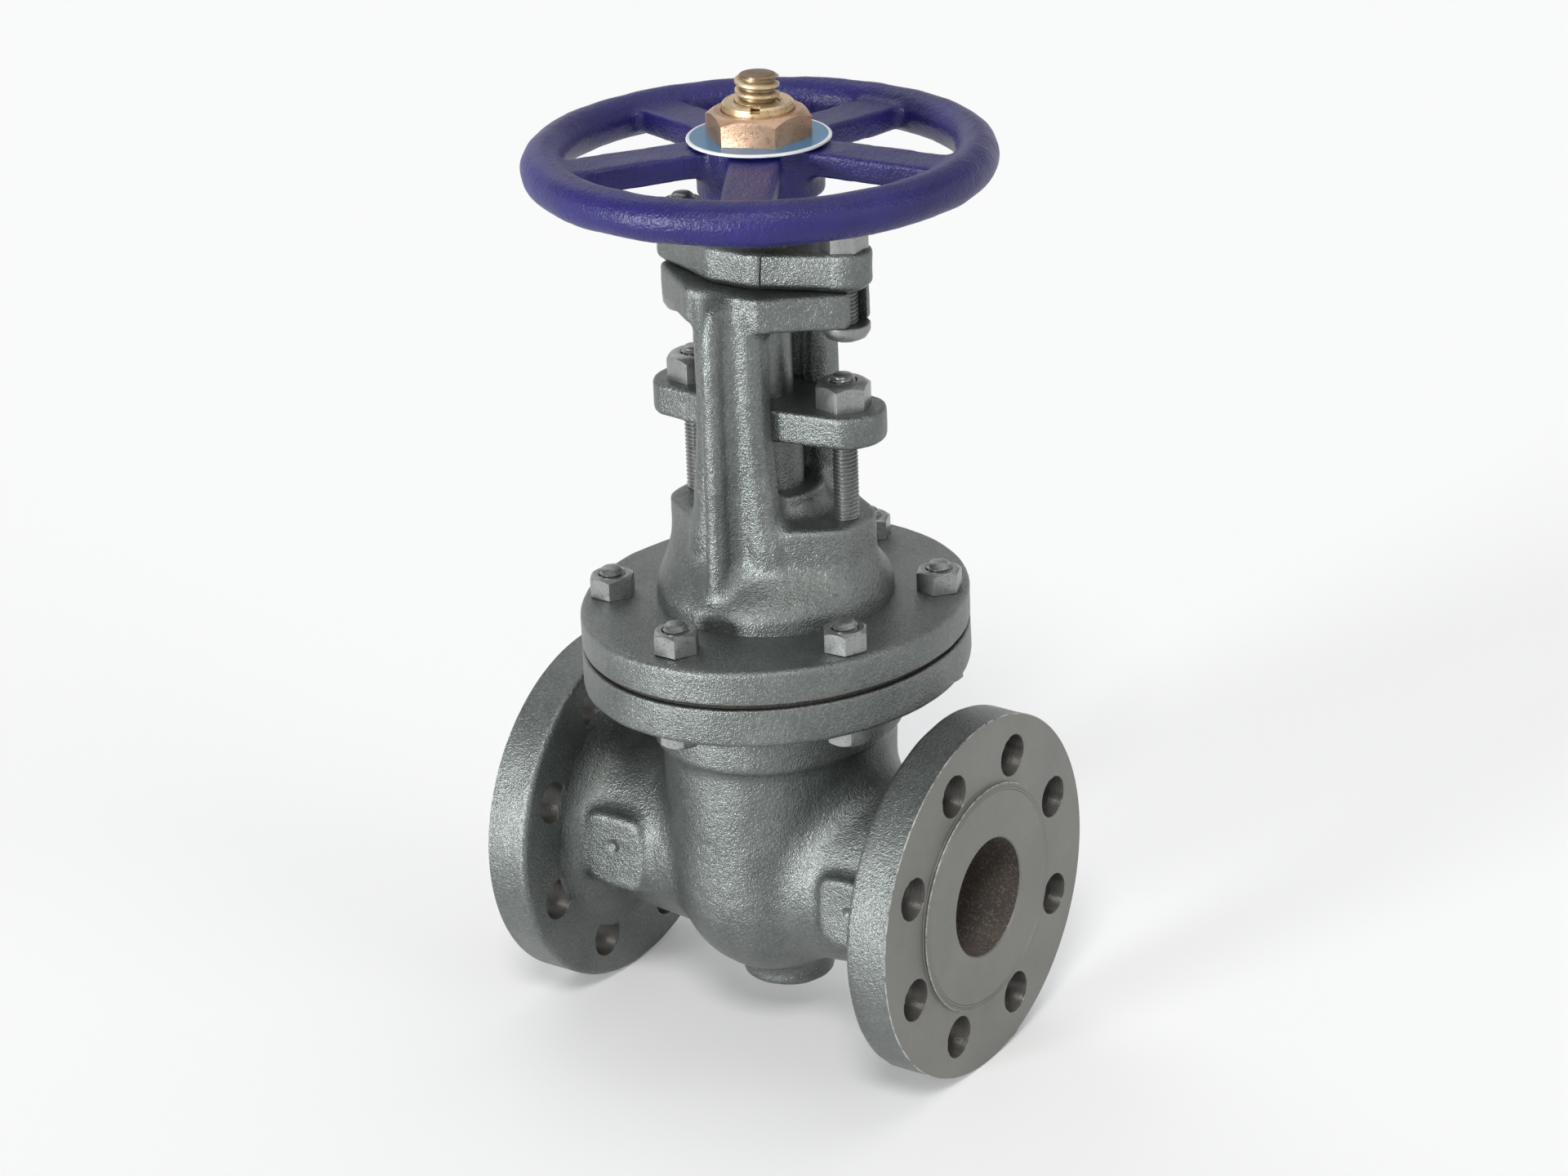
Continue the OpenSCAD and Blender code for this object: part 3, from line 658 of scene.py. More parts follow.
# %% Pipe flange profile
flange_thick, raised_r, raised_high, bore_r = 22.2, 52.0, 1.6, 27.0
bolt_circle_r, bolt_hole_r = 63.5, 9.5
edge_break, touching = 0.4, 0.02
rim_front, rim_back = half_length - raised_high, half_length - flange_thick


def steps_between(start, stop, count):
    """Points after start, up to and with stop."""
    return [(start[0] + (stop[0] - start[0]) * k / count, start[1] + (stop[1] - start[1]) * k / count)
            for k in range(1, count + 1)]


def flange_outline():
    """From the bore's front edge over the faces and the rim to the back, and home."""
    back_r, neck_r, inset = 2.5, 34.0, 2.0
    points = [(bore_r, half_length - 0.6), (bore_r + 0.6, half_length)]
    points += steps_between(points[-1], (raised_r - 3.6, half_length), 6)
    for groove_r in (raised_r - 3.2, raised_r - 2.1, raised_r - 1.2):
        points += [(groove_r - 0.2, half_length), (groove_r, half_length - 0.16),
                   (groove_r + 0.2, half_length)]
    points += [(raised_r - edge_break, half_length), (raised_r, half_length - edge_break)]
    points += [(raised_r, rim_front + 0.3), (raised_r + 0.3, rim_front)]
    points += steps_between(points[-1], (flange_r - edge_break, rim_front), 8)
    points += [(flange_r, rim_front - edge_break)]
    points += steps_between(points[-1], (flange_r, rim_back + back_r), 7)
    points += arc(flange_r - back_r, rim_back + back_r, back_r, -15, -90, 4)
    points += steps_between(points[-1], (40.0, rim_back), 12)
    points += [(neck_r, rim_back), (neck_r, rim_back + inset), (bore_r, rim_back + inset)]
    return points


def from_hole(y, z):
    """Distance of a spot from the middle of the nearest bolt hole."""
    turn = (round((math.atan2(z, y) / math.tau - 1 / 16) * 8) / 8 + 1 / 16) * math.tau
    return math.hypot(y - bolt_circle_r * math.cos(turn), z - bolt_circle_r * math.sin(turn))


def broken_hole_edges(obj):
    """Bevels the edges where the drilled holes meet the two faces."""
    bm = bmesh.new()
    bm.from_mesh(obj.data)
    bmesh.ops.remove_doubles(bm, verts=bm.verts, dist=1e-3)
    chosen = [e for e in bm.edges if e.calc_face_angle(0) > 1 and all(
        abs(from_hole(v.co.y, v.co.z) - bolt_hole_r) < touching
        and min(abs(abs(v.co.x) - rim_front), abs(abs(v.co.x) - rim_back)) < touching for v in e.verts)]
    count = len(chosen)
    bevelled(bm, chosen, edge_break)
    bm.to_mesh(obj.data)
    bm.free()
    return count


def flange_finish(middle):
    """Which of its materials a spot has: 0 machined, 1 as cast, 2 edge with a painted highlight, 3 drilled
    wall, 4 bore.
    """
    from_axis = math.hypot(middle.y, middle.z)
    along = abs(middle.x - stem_x / MM)
    if from_hole(middle.y, middle.z) < bolt_hole_r + touching:
        return 3
    if from_axis < bore_r + 0.1:
        return 4
    on_rim_edge = abs(from_axis - flange_r) < edge_break and rim_front - edge_break < along < rim_front
    on_face_edge = abs(from_axis - raised_r) < edge_break and half_length - edge_break < along < half_length
    # The edges of the rim and of the raised face take the painted highlight.
    if on_rim_edge or on_face_edge:
        return 2
    if from_axis > flange_r - 3 and along < rim_front - 0.5 or along < rim_back + 0.3:
        return 1
    return 0


# %% Spin, drill and finish both flanges
gate_angle = math.radians(17)
for side, flange_name in ((-1, "inlet_flange"), (1, "outlet_flange")):
    flange = loose_object(spun(flange_outline(), 160, axis="X", mirror_x=side < 0))
    rim_points = points_of(flange)
    ring_r = np.hypot(rim_points[:, 1], rim_points[:, 2])
    cast_share = np.clip((ring_r - flange_r + 2.6) / 1.4, 0, 1) * (np.abs(rim_points[:, 0]) < rim_front - 1)
    swell(flange, -0.5 * cast_share * np.abs(waves_at(rim_points, 16.0, (side * 9.0, 0, 0))))
    for hole_number in range(8):
        drill = round_bar(bolt_hole_r, rim_back - 4, half_length + 2, 48, axis="X", mirror_x=side < 0)
        centre = on_circle(bolt_circle_r, math.tau * (hole_number + 0.5) / 8)
        cut(flange, turned_to(drill, Matrix.Translation((0, *centre))))
    print("hole edges", broken_hole_edges(flange))
    if side > 0:
        gate = plate(oval(9.0, 8.0, count=24, power=4.0), -1.0, 1.5, rounding=0.5)
        turned_to(gate, Matrix.Rotation(gate_angle, 4, "X")
                  @ Matrix.Translation((rim_front - 5.2, 0, -flange_r)) @ Matrix.Rotation(math.pi, 4, "X"))
        flange = joined([mesh_of(flange), gate])
    finish_piece(flange, flange_name, face_paint, sharp=30)
    for finish in (cast_paint, painted_edge_highlight, hole_paint, bore_rust):
        flange.data.materials.append(finish)
    for face in flange.data.polygons:
        face.material_index = flange_finish(face.center / MM)

# %% [markdown]
# ## The body casting
# Chest, neck, ports, pads and drain boss are one casting. Its shells overlap, the
# growing and shrinking gives the large fillets between chest and ports, and a second,
# smaller one softens the pads and the boss.

# %% Chest, neck and ports
chest_half_x, chest_half_y, chest_depth = 46.0, 58.0, 56.0
neck_base, neck_top = 62.0, joint_top - 18.0
port_root_r, port_end_r, port_wall_r = 46.5, 40.2, 60
pad_x, pad_reach, pad_sizes = 63.4, 47.0, {-1: (34, 37), 1: (33, 34)}
corners = [(side_x, side_y) for side_x in (-1, 1) for side_y in (-1, 1)]


def rounded_floor(depth, power=2.15, rows=14):
    """Outline of the chest below its middle: full width at the top, closing to a point."""
    points = [(0.0, -depth)]
    for k in range(1, rows + 1):
        z = -math.cos(math.pi / 2 * k / rows)
        points.append(((1 - abs(z) ** power) ** (1 / power), z * depth))
    return points


chest_floor = spun(rounded_floor(chest_depth) + [(1.0, 8.0), (0.0, 8.0)], 96)
turned_to(chest_floor, Matrix.Diagonal((chest_half_x, chest_half_y, 1, 1)))
chest_wall = column([(0, 0, 0, 46, 58), (22, 0, 0, 47.2, 58.2), (44, 0, 0, 48.8, 58.6),
                     (neck_base + 6, 0, 0, 49.6, 59)], 96)
neck = plate(oval(104, 124.5, power=2.1), neck_base, neck_top + 3, rounding=1.0)
port_shells = []
for side in (-1, 1):
    port = spun([(0, 16), (port_root_r, 16), (port_end_r, rim_back + 6), (0, rim_back + 6)], 96,
                axis="X", mirror_x=side < 0)
    port_shells += [port, round_bar(port_wall_r, rim_back + 0.12, rim_back + 6, 96,
                                    axis="X", mirror_x=side < 0)]
big_casting = casting([chest_floor, chest_wall, *port_shells], fillet=11, voxel=1.6, rounds=3)
print("big casting", len(big_casting.data.vertices), "points")


# %% Pads, boss and final skin
def facing(side_y, x, y, z):
    """Places a shape that is drawn on the stem's axis so that it faces the near or the far side."""
    return Matrix.Translation((x, y, z)) @ Matrix.Rotation(side_y * -math.pi / 2, 4, "X")


small_shells = []
for side_x, side_y in corners:
    pad = plate(oval(*pad_sizes[side_x], count=48, power=4.2), 20, pad_reach - 0.9, rounding=2.6)
    small_shells.append(turned_to(pad, facing(side_y, side_x * pad_x, 0, -0.8)))
boss = spun([(0, -62.5), (19.6, -62.5), (20.8, -61.4), (21, -40), (0, -40)], 64)
body_casting = casting([mesh_of(big_casting), *small_shells, boss, neck], fillet=3.6, voxel=1.15, rounds=4,
                       draft_voxel=1.4)
ripple(body_casting, 0.35, 17, seed=3)
ripple(body_casting, 0.12, 5, seed=8)

# %% [markdown]
# The waterway, the chest's room for the wedge and the pad dimples are cut last, so
# their edges stay crisp.

# %% Cut the waterway and the room
cored_r, room_half_x, room_half_y, room_depth = 27.8, 25, 46, 45.0
waterway = round_bar(cored_r, -rim_back - 1, rim_back + 1, 72, axis="X")
cavity = spun(rounded_floor(room_depth) + [(1.0, neck_top + 5), (0, neck_top + 5)], 64)
turned_to(cavity, Matrix.Diagonal((room_half_x, room_half_y, 1, 1)))
end_cuts = [block(Matrix.Translation((side * (rim_back + 16.2), 0, 0)), (31, 150, 150)) for side in (-1, 1)]
lid = block(Matrix.Translation((0, 0, neck_top + 11)), (160, 160, 20))
cut(body_casting, waterway, cavity, *end_cuts, lid)
for side_x, side_y in corners:
    dimple = spun([(0, -1.9), (1.2, -1.6), (2.8, -0.9), (4.2, 0.3), (5.2, 1.5), (0, 1.5)], 24)
    placing = facing(side_y, side_x * pad_x, side_y * (pad_reach - 0.5), 1.5 - side_x)
    cut(body_casting, turned_to(dimple, placing))
finish_piece(body_casting, "body_casting", cast_paint, replaced=("body",), sharp=60)

# %% [markdown]
# ## The joint flanges
# The body and the bonnet meet at two oval flanges of equal size. Their rims are as
# cast, with soft outer edges, and a thin dark line of gasket shows between them.


# %% Oval joint flanges
def oval_flange(low, high, inner, seed, soft_low, soft_high):
    """A flange with rounded rim edges. Its outline is spun, then stretched to the oval."""
    mean_r = 88.25
    points = [(inner, low)]
    points += steps_between(points[-1], (mean_r - soft_low, low), 14)
    points += arc(mean_r - soft_low, low + soft_low, soft_low, -72, 0, 4)
    points += steps_between(points[-1], (mean_r, high - soft_high), 5)
    points += arc(mean_r - soft_high, high - soft_high, soft_high, 18, 90, 4)
    points += steps_between(points[-1], (inner, high), 14)
    stretch = Matrix.Diagonal((bonnet_high.x / mean_r, bonnet_high.y / mean_r, 1, 1))
    obj = loose_object(turned_to(spun(points, 240), stretch))
    cast = points_of(obj)
    rim = np.clip((np.hypot(cast[:, 0], cast[:, 1]) - 60) / 20, 0, 1)
    waves = waves_at(cast, 19.0, (seed, 0, 0)) * 0.3 + waves_at(cast, 6.0, (0, seed, 0)) * 0.12
    swell(obj, (waves - 0.25) * rim)
    return obj


bonnet_top = bonnet_low.z + 16
body_flange = oval_flange(neck_top, joint_top, 40, 2.0, 2.6, 1.2)
finish_piece(body_flange, "body_joint_flange", joint_paint, sharp=50)
bonnet_flange = oval_flange(bonnet_low.z, bonnet_top, 30, 11.0, 1.2, 2.8)
finish_piece(bonnet_flange, "bonnet_joint_flange", joint_paint, sharp=50)

# %% [markdown]
# ## Bonnet and yoke
# Dome, stud platforms, stuffing box, two ribbed arms and the slotted bar grow from
# the bonnet's flange as one casting.

# %% Bonnet and yoke outlines
platform_top, bar_low = bonnet_top + 42.4, bar_top - 16
arm_inner, arm_outer, rib_outer, arm_half, rib_half = 24.0, 34.0, 47.0, 18.0, 4.7
box_r, box_top = 23.3, platform_top + 10


def lozenge(end_x, end_y, middle_x, middle_y, corner):
    half = [(middle_x, -middle_y), (end_x - corner, -end_y), (end_x, corner - end_y),
            (end_x, end_y - corner), (end_x - corner, end_y), (middle_x, middle_y)]
    return half + [(-x, -y) for x, y in half]


def side_plate(outline, low_x, high_x, rounding):
    """A plate drawn in Y and Z, as thick as from low_x to high_x."""
    made = plate(outline, low_x, high_x, rounding)
    return turned_to(made, Matrix(((0, 0, 1, 0), (1, 0, 0, 0), (0, 1, 0, 0), (0, 0, 0, 1))))


def front_plate(outline, low_y, high_y, rounding):
    """A plate drawn in X and Z, as thick as from low_y to high_y."""
    made = plate(outline, -high_y, -low_y, rounding)
    return turned_to(made, Matrix(((1, 0, 0, 0), (0, 0, -1, 0), (0, 1, 0, 0), (0, 0, 0, 1))))


def skirt_radius(angle, height):
    """The skirt under the platforms: round at its foot, as blunt as the platforms at its top."""
    c, s = abs(math.cos(angle)), abs(math.sin(angle))
    sides = [(c, 47.3), (0.561 * c + 0.828 * s, 38.2), (s, 33.6)]
    blunt = sum((share / far) ** 16 for share, far in sides) ** (-1 / 16)
    rise = min(max((height - bonnet_top - 5) / 23, 0), 1)
    share = rise * rise * (3 - 2 * rise)
    return 52.6 * (1 - share) + blunt * share


skirt_rows = [(bonnet_top + h, 0, 0, 1, 1) for h in (-5, 0, 3, 6, 9, 12, 15, 18, 21, 24, 27, 30, 35)]
skirt_rows += [(platform_top - drop, 0, 0, share, share)
               for drop, share in ((2.0, 1.0), (1.2, 0.992), (0.5, 0.976), (0.0, 0.945))]
foot_rows = [(bonnet_top + rise, half_x, half_y) for rise, half_x, half_y in (
    (4, 26, 25), (10, 25, 21.5), (15, 24, 17), (20, 22.5, 12.5), (25, 21, 9), (31, 20, 6))]
arm_edge = [(17.2, bar_top - 1), (17.2, platform_top + 52), (18.2, platform_top + 34),
            (19.6, platform_top + 18), (21.2, platform_top + 5), (24, platform_top - 8),
            (25, bonnet_top + 8)]
arm_outline = [(-x, z) for x, z in arm_edge] + arm_edge[::-1]
rib_outline = [(arm_outer - 4, bar_top - 0.8), (arm_outer + 0.5, bar_top - 0.8),
               (rib_outer - 6.5, bar_top - 3.5), (rib_outer - 3, bar_low + 8), (rib_outer - 0.6, bar_low - 3),
               (rib_outer, bar_low - 16), (rib_outer + 0.8, platform_top), (rib_outer + 1.5, bonnet_top + 8),
               (rib_outer + 1.5, bonnet_top - 1), (arm_outer - 6, bonnet_top - 1)]


def wing_pillow(side_x, side_y):
    """The swollen half of an arm's face, between the rib and the arm's edge."""
    rows = [(z, side_x * (edge + 2.2) / 2, side_y * 26.5, (edge - 2.2) / 2, 8.6)
            for edge, z in arm_edge[::-1]]
    rows[-1] = (bar_top - 6, *rows[-1][1:])
    return column(rows, 40)


# %% Grow the yoke casting
stuffing_box = spun([(0, bonnet_top), (box_r, bonnet_top), (box_r, box_top - 1), (box_r - 1, box_top),
                     (0, box_top)], 72)
yoke_shells = [column(skirt_rows, 120, skirt_radius), stuffing_box]
yoke_shells += [column([(z, 0, 28 * side, half_x, half_y) for z, half_x, half_y in foot_rows])
                for side in (-1, 1)]
for side in (-1, 1):
    low_y, high_y = sorted((side * arm_inner, side * (arm_outer - 1.6)))
    yoke_shells += [front_plate(arm_outline, low_y, high_y, 3.4), wing_pillow(-1, side), wing_pillow(1, side)]
    rib = [(side * y, z) for y, z in rib_outline][::side]
    yoke_shells.append(side_plate(rib, -rib_half, rib_half, 4.5))
bar_outline = lozenge(48, 14, arm_half, arm_outer - 0.5, 4.5)
yoke_shells.append(plate(bar_outline, bar_low, bar_top - 0.2, rounding=1.6))
yoke_casting = casting(yoke_shells, fillet=4.0, voxel=1.0, rounds=2, draft_voxel=1.15)
ripple(yoke_casting, 0.3, 14, seed=5)
ripple(yoke_casting, 0.14, 4.5, seed=15)

# %% Slots, sleeve seat and stem bore
slot_r, slot_x, room = 6.4, 41.5, 0.15
collar_r, collar_low, collar_high = 20.2, 262.2, 272.2
seat_r, stem_room_r, dome_room_r = 15.35, 11.3, 22
bar_tools = [round_bar(seat_r, bar_low - 3, bar_top + 3),
             round_bar(stem_room_r, bonnet_low.z - 1, platform_top + 14, 48),
             round_bar(dome_room_r, bonnet_low.z - 1, bonnet_top + 6, 48),
             round_bar(collar_r + room, collar_low - room, bar_top + 3)]
for side in (-1, 1):
    slot = [(60, slot_r), (slot_x, slot_r)]
    slot += [(slot_x - slot_r * math.sin(math.radians(22.5 * k)), slot_r * math.cos(math.radians(22.5 * k)))
             for k in range(1, 8)]
    slot += [(slot_x, -slot_r), (60, -slot_r)]
    bar_tools.append(plate([(side * x, y) for x, y in slot], bar_low - 4, bar_top + 4))
cut(yoke_casting, *bar_tools)
finish_piece(yoke_casting, "bonnet_yoke_casting", cast_paint, replaced=("bonnet",), sharp=55)

# %% [markdown]
# ## Gland follower and yoke cap
# Both are flat castings with two round lobes. The follower presses the packing down
# through its sleeve, the cap holds the turning sleeve in the yoke.


# %% Lobed plates
def lobed(spacing, lobe_d, middle_x, middle_y):
    """Outline with a blunt middle and a round lobe at each end."""
    lean = 62.0
    right = [on_circle(lobe_d / 2, math.radians(a), (spacing / 2, 0)) for a in np.linspace(-lean, lean, 10)]
    half = [(middle_x, -middle_y), *right, (middle_x, middle_y)]
    return half + [(-x, -y) for x, y in half]


gland_foot, gland_top = gland_low.z, gland_high.z
gland_sleeve = spun([(0, gland_foot), (13.9, gland_foot), (14.3, gland_foot + 0.5), (14.3, gland_top - 2),
                     (0, gland_top - 2)], 64)
follower = casting([plate(lobed(78, 37, 9, 22), gland_top - 14.5, gland_top, rounding=1.4), gland_sleeve],
                   fillet=3.0, voxel=0.8, rounds=4)
ripple(follower, 0.3, 11, seed=21)
cut(follower, round_bar(11.2, gland_foot - 2, gland_top + 2))
finish_piece(follower, "gland_follower_casting", cast_paint, replaced=("gland_follower",), sharp=55)

# %% Yoke cap
cap_base, cap_crown, cap_top = cap_low.z, cap_high.z, cap_high.z - 8.5
cap_collar = spun([(0, cap_top - 3), (20.3, cap_top - 3), (20.2, cap_crown - 1), (19.4, cap_crown),
                   (0, cap_crown)], 72)
cap = casting([plate(lobed(83, 24, 11, 26.5), cap_base + 1.6, cap_top, rounding=1.8),
               plate(lobed(83, 19, 9, 23.5), cap_base, cap_base + 3, rounding=0.4), cap_collar],
              fillet=2.6, voxel=0.8, rounds=3)
cap_points = points_of(cap)
swell(cap, -0.35 * (cap_points[:, 0] > 15) * (cap_points[:, 1] < -12))
ripple(cap, 0.35, 11, seed=31)
seam = block(Matrix.Translation((15, -25.5, cap_base + 9)) @ Matrix.Rotation(0.05, 4, "Y"), (0.5, 6.6, 30))
cut(cap, round_bar(15.4, cap_base - 2, cap_crown + 2), seam)
finish_piece(cap, "yoke_cap_casting", cast_paint, replaced=("yoke_cap",), sharp=55)

# %% [markdown]
# ## Handwheel
# Rim, hub and five ribbed spokes, cast in iron and coated thickly in blue-violet
# paint that fills and rounds every edge.

# %% Handwheel casting
rim_section_r = 9.5
rim_r, rim_z = wheel_high.x - rim_section_r - 0.06, wheel_low.z + 14.5
hub_low, hub_high, hub_r = wheel_low.z, plate_low.z, 27.5
spoke_half, spoke_top = 10.9, rim_z + 7.6
rim_circle = arc(rim_r, rim_z, rim_section_r, 0, 360, 24)[:-1]
wheel_shells = [spun(rim_circle, 160),
                spun([(0, hub_low), (hub_r - 1, hub_low), (hub_r, hub_low + 1), (hub_r, hub_high - 1),
                      (hub_r - 1, hub_high), (0, hub_high)], 72)]
spoke_line = [(20, spoke_top - 10.8), (hub_r, spoke_top - 10.8), (rim_r, spoke_top - 13.9),
              (rim_r, spoke_top - 3.1), (hub_r, spoke_top), (20, spoke_top)]
for k in range(5):
    spoke = side_plate(spoke_line, -spoke_half, spoke_half, 1.1)
    wheel_shells.append(turned_to(spoke, Matrix.Rotation(math.radians(-60 + 72 * k - 90), 4, "Z")))
wheel = casting(wheel_shells, fillet=2.6, voxel=0.95, rounds=3, draft_voxel=1.1)
ripple(wheel, 0.4, 15, seed=41)
ripple(wheel, 0.10, 4.2, seed=47)
cut(wheel, round_bar(15.3, hub_low - 2, hub_high + 2))


# %% Wheel paint
def wheel_paint_finish():
    """Thick gloss paint: dark, even, and rounded over the grain below it."""
    material, tree = new_material("wheel_gloss")
    skin = use_group(tree, sandy_skin, Grain_Scale=900.0, Pit_Depth=0.2)
    tone = ramp_in(tree, skin["Patch"], [(0.32, (0.009, 0.007, 0.085)), (0.68, (0.016, 0.013, 0.125))])
    # Painted shade darkens the hollows of the grain.
    tone = stained(tree, tone, skin["Painted Shade"], 0.3, (0.010, 0.009, 0.075))
    return dressed(material, tone, math_in(tree, "MULTIPLY_ADD", skin["Patch"], 0.16, 0.32),
                   Specular_IOR_Level=0.42, Normal=bump_in(tree, skin["Height"], 0.00045))


finish_piece(wheel, "handwheel_casting", wheel_paint_finish(), "wheel_group",
             replaced=("handwheel",), sharp=60)

# %% [markdown]
# ## Bolts, studs and nuts
# Threads are spun with a rise of one pitch a turn. A nut is what a six-sided bar and
# a turned blank have in common, which gives the curved edges of its chamfer.


# %% Threads
def threaded_rod(d, depth, pitch, low, high, end_chamfer, flat, steps=32, left_hand=False, end_share=0.62):
    """A threaded rod: one pitch of outline, spun with a rise, trimmed and capped."""
    crest, root = d / 2, d / 2 - depth
    turns = math.ceil((high - low) / pitch) + 3
    start = low - 1.5 * pitch
    lean = (1 - 2 * flat) / 2
    outline = [(root, 0), (root, flat * pitch), (crest, (flat + lean) * pitch),
               (crest, (2 * flat + lean) * pitch), (root, pitch)]
    bm = bmesh.new()
    ring = [bm.verts.new((r, 0, start + h)) for r, h in outline]
    edges = [bm.edges.new(pair) for pair in zip(ring, ring[1:])]
    bmesh.ops.spin(bm, geom=ring + edges, cent=(0, 0, 0), axis=(0, 0, -1 if left_hand else 1),
                   dvec=(0, 0, pitch / steps), angle=math.tau * turns, steps=steps * turns)
    bmesh.ops.remove_doubles(bm, verts=bm.verts, dist=pitch * 0.01)
    for height, up in ((low, -1), (high, 1)):
        bmesh.ops.bisect_plane(bm, geom=bm.verts[:] + bm.edges[:] + bm.faces[:], plane_co=(0, 0, height),
                               plane_no=(0, 0, up), clear_outer=True, dist=1e-4)
        rim = [e for e in bm.edges if e.is_boundary and all(abs(v.co.z - height) < 1e-3 for v in e.verts)]
        bmesh.ops.holes_fill(bm, edges=rim, sides=0)
    for v in bm.verts:
        over = min(max((v.co.z - high + end_chamfer) / end_chamfer, 0), 1)
        dome = end_share + (1 - end_share) * math.sqrt(1 - over * over)
        limit = min(crest, root * dome + (crest - root) * (1 - over))
        radius = math.hypot(v.co.x, v.co.y)
        if radius > limit:
            v.co.x, v.co.y = v.co.x * limit / radius, v.co.y * limit / radius
    bmesh.ops.recalc_face_normals(bm, faces=bm.faces)
    return bm


# %% Nuts and heads
def hex_blank(flats, low, high, turn, top_chamfer=True, foot_chamfer=False, bore=0.0, top_share=0.9):
    """A six-sided nut or head with turned corners."""
    corner = flats / math.sqrt(3)
    drop = (corner - flats / 2 * top_share) * 0.72
    prism = bmesh.new()
    placing = Matrix.Translation((0, 0, low)) @ Matrix.Rotation(math.radians(turn), 4, "Z")
    bmesh.ops.create_circle(prism, cap_ends=True, radius=corner, segments=6, matrix=placing)
    raised(prism, high - low)
    bevelled(prism, [e for e in prism.edges if abs(e.verts[0].co.z - e.verts[1].co.z) > 1], flats * 0.012)
    outline = [(bore, low - 1), (corner + 1, low - 1), (corner + 1, high - drop)]
    if foot_chamfer:
        outline = [(bore, low - 0.001), (flats / 2 * 0.97, low - 0.001), (corner + 0.2, low + drop),
                   (corner + 1, low + drop), (corner + 1, high - drop)]
    if top_chamfer:
        shoulder = flats / 2 * top_share
        outline += [(corner + 0.2, high - drop), (shoulder + (corner - shoulder) * 0.42, high - drop * 0.32),
                    (shoulder, high + 0.001)]
    else:
        outline += [(corner + 1, high + 1)]
    outline += [(bore + 0.8, high + 0.001), (bore, high - 0.8)] if bore else [(0, high + 0.001)]
    blank = loose_object(prism)
    turned = loose_object(spun(outline, 72))
    common = blank.modifiers.new("common", "BOOLEAN")
    common.operation, common.solver, common.object = "INTERSECT", "EXACT", turned
    settle_modifiers(blank)
    bpy.data.objects.remove(turned)
    return mesh_of(blank)


# %% Bolt steel
def bolt_steel_finish(name, streaks, tint):
    """Dull steel with streaks along the bar, painted shade in its hollows and a few rust spots."""
    material, tree = new_material(name)
    place = object_place(tree)
    tall = node_in(tree, "ShaderNodeMapping", {"Vector": place, "Scale": (1, 1, 0.05)})
    streak = noise_in(tree, tall.outputs[0], 1900.0, 3.0, 0.6)
    skin = use_group(tree, sandy_skin, Grain_Scale=1500.0, Pit_Depth=0.3)
    tone = ramp_in(tree, streak, [(0.3, tint), (0.75, tuple(c * 1.25 for c in tint))])
    # Painted shade darkens the hollows of the grain.
    tone = stained(tree, tone, skin["Painted Shade"], 0.5, (0.05, 0.05, 0.046))
    rust = ramp_in(tree, noise_in(tree, place, 160.0, 4.0, 0.7), [(0.62, 0.0), (0.74, 0.5)])
    tone = mix_in(tree, rust, tone, (0.13, 0.075, 0.04))
    under = bump_in(tree, skin["Height"], 0.00008)
    return dressed(material, tone, math_in(tree, "MULTIPLY_ADD", skin["Patch"], 0.18, 0.24),
                   Metallic=0.9, Normal=bump_in(tree, streak, 0.00004 * streaks, under))


nut_steel = bolt_steel_finish("nut_steel", 1.0, (0.265, 0.273, 0.268))
stud_steel = bolt_steel_finish("stud_steel", 0.3, (0.240, 0.247, 0.240))
print("steels:", nut_steel.name, stud_steel.name)

# %% Pieces that stand for a model's nut or bolt
bolt_d, bolt_pitch, thread_depth = 11.1, 1.81, 1.0
nut_flats, gland_flats, nut_turn = 18.2, 21.5, 19.0


def bolting_piece(obj, node, look, material, sharp=25):
    """Moves a nut, bolt or stud from the stem's axis to that of its nut, and finishes it."""
    low, high = box_mm(node.replace("bolt", "nut").replace("stud", "nut"))
    obj.data.transform(Matrix.Translation(((low.x + high.x) / 2, (low.y + high.y) / 2, 0)))
    finish_piece(obj, f"{node}_{look}", material, "valve", replaced=(node,), sharp=sharp)


def faced_nut(node, turn, flats=nut_flats, bore=bolt_d / 2 + 0.05, sharp=25, **shape):
    low, high = box_mm(node)
    nut = hex_blank(flats, low.z, high.z, turn, bore=bore, **shape)
    bolting_piece(loose_object(nut), node, "faced", nut_steel, sharp)


def threaded_bolt(node, thread_low, end_chamfer, *heads):
    rod = threaded_rod(bolt_d, thread_depth, bolt_pitch, thread_low, box_mm(node)[1].z, end_chamfer, 0.1)
    bolting_piece(joined([*heads, rod]), node, "threaded", stud_steel)


# %% Bonnet bolts
for number in range(1, 7):
    faced_nut(f"bonnet_nut_{number}", nut_turn + 3 * (number - 1))
    bolt_foot = box_mm(f"bonnet_bolt_{number}")[0].z
    head = hex_blank(nut_flats, bolt_foot, neck_top, -nut_turn, top_chamfer=False, foot_chamfer=True)
    threaded_bolt(f"bonnet_bolt_{number}", neck_top - 3, 2.2, head)

# %% Gland studs and cap bolts
for side_name in ("left", "right"):
    faced_nut(f"gland_nut_{side_name}", nut_turn, gland_flats, bore=5.6, sharp=32, top_share=0.84)
    threaded_bolt(f"gland_stud_{side_name}", box_mm(f"gland_stud_{side_name}")[0].z, 2.6)
    faced_nut(f"cap_nut_{side_name}", 0)
    foot = box_mm(f"cap_bolt_{side_name}")[0].z
    head = spun([(0, foot), (5.5, foot), (8.8, foot + 1.6), (10.3, foot + 4.0), (10.5, foot + 5.0),
                 (10.5, bar_low - 0.4), (10.1, bar_low), (0, bar_low)], 48)
    threaded_bolt(f"cap_bolt_{side_name}", foot + 3, 2.2, head)

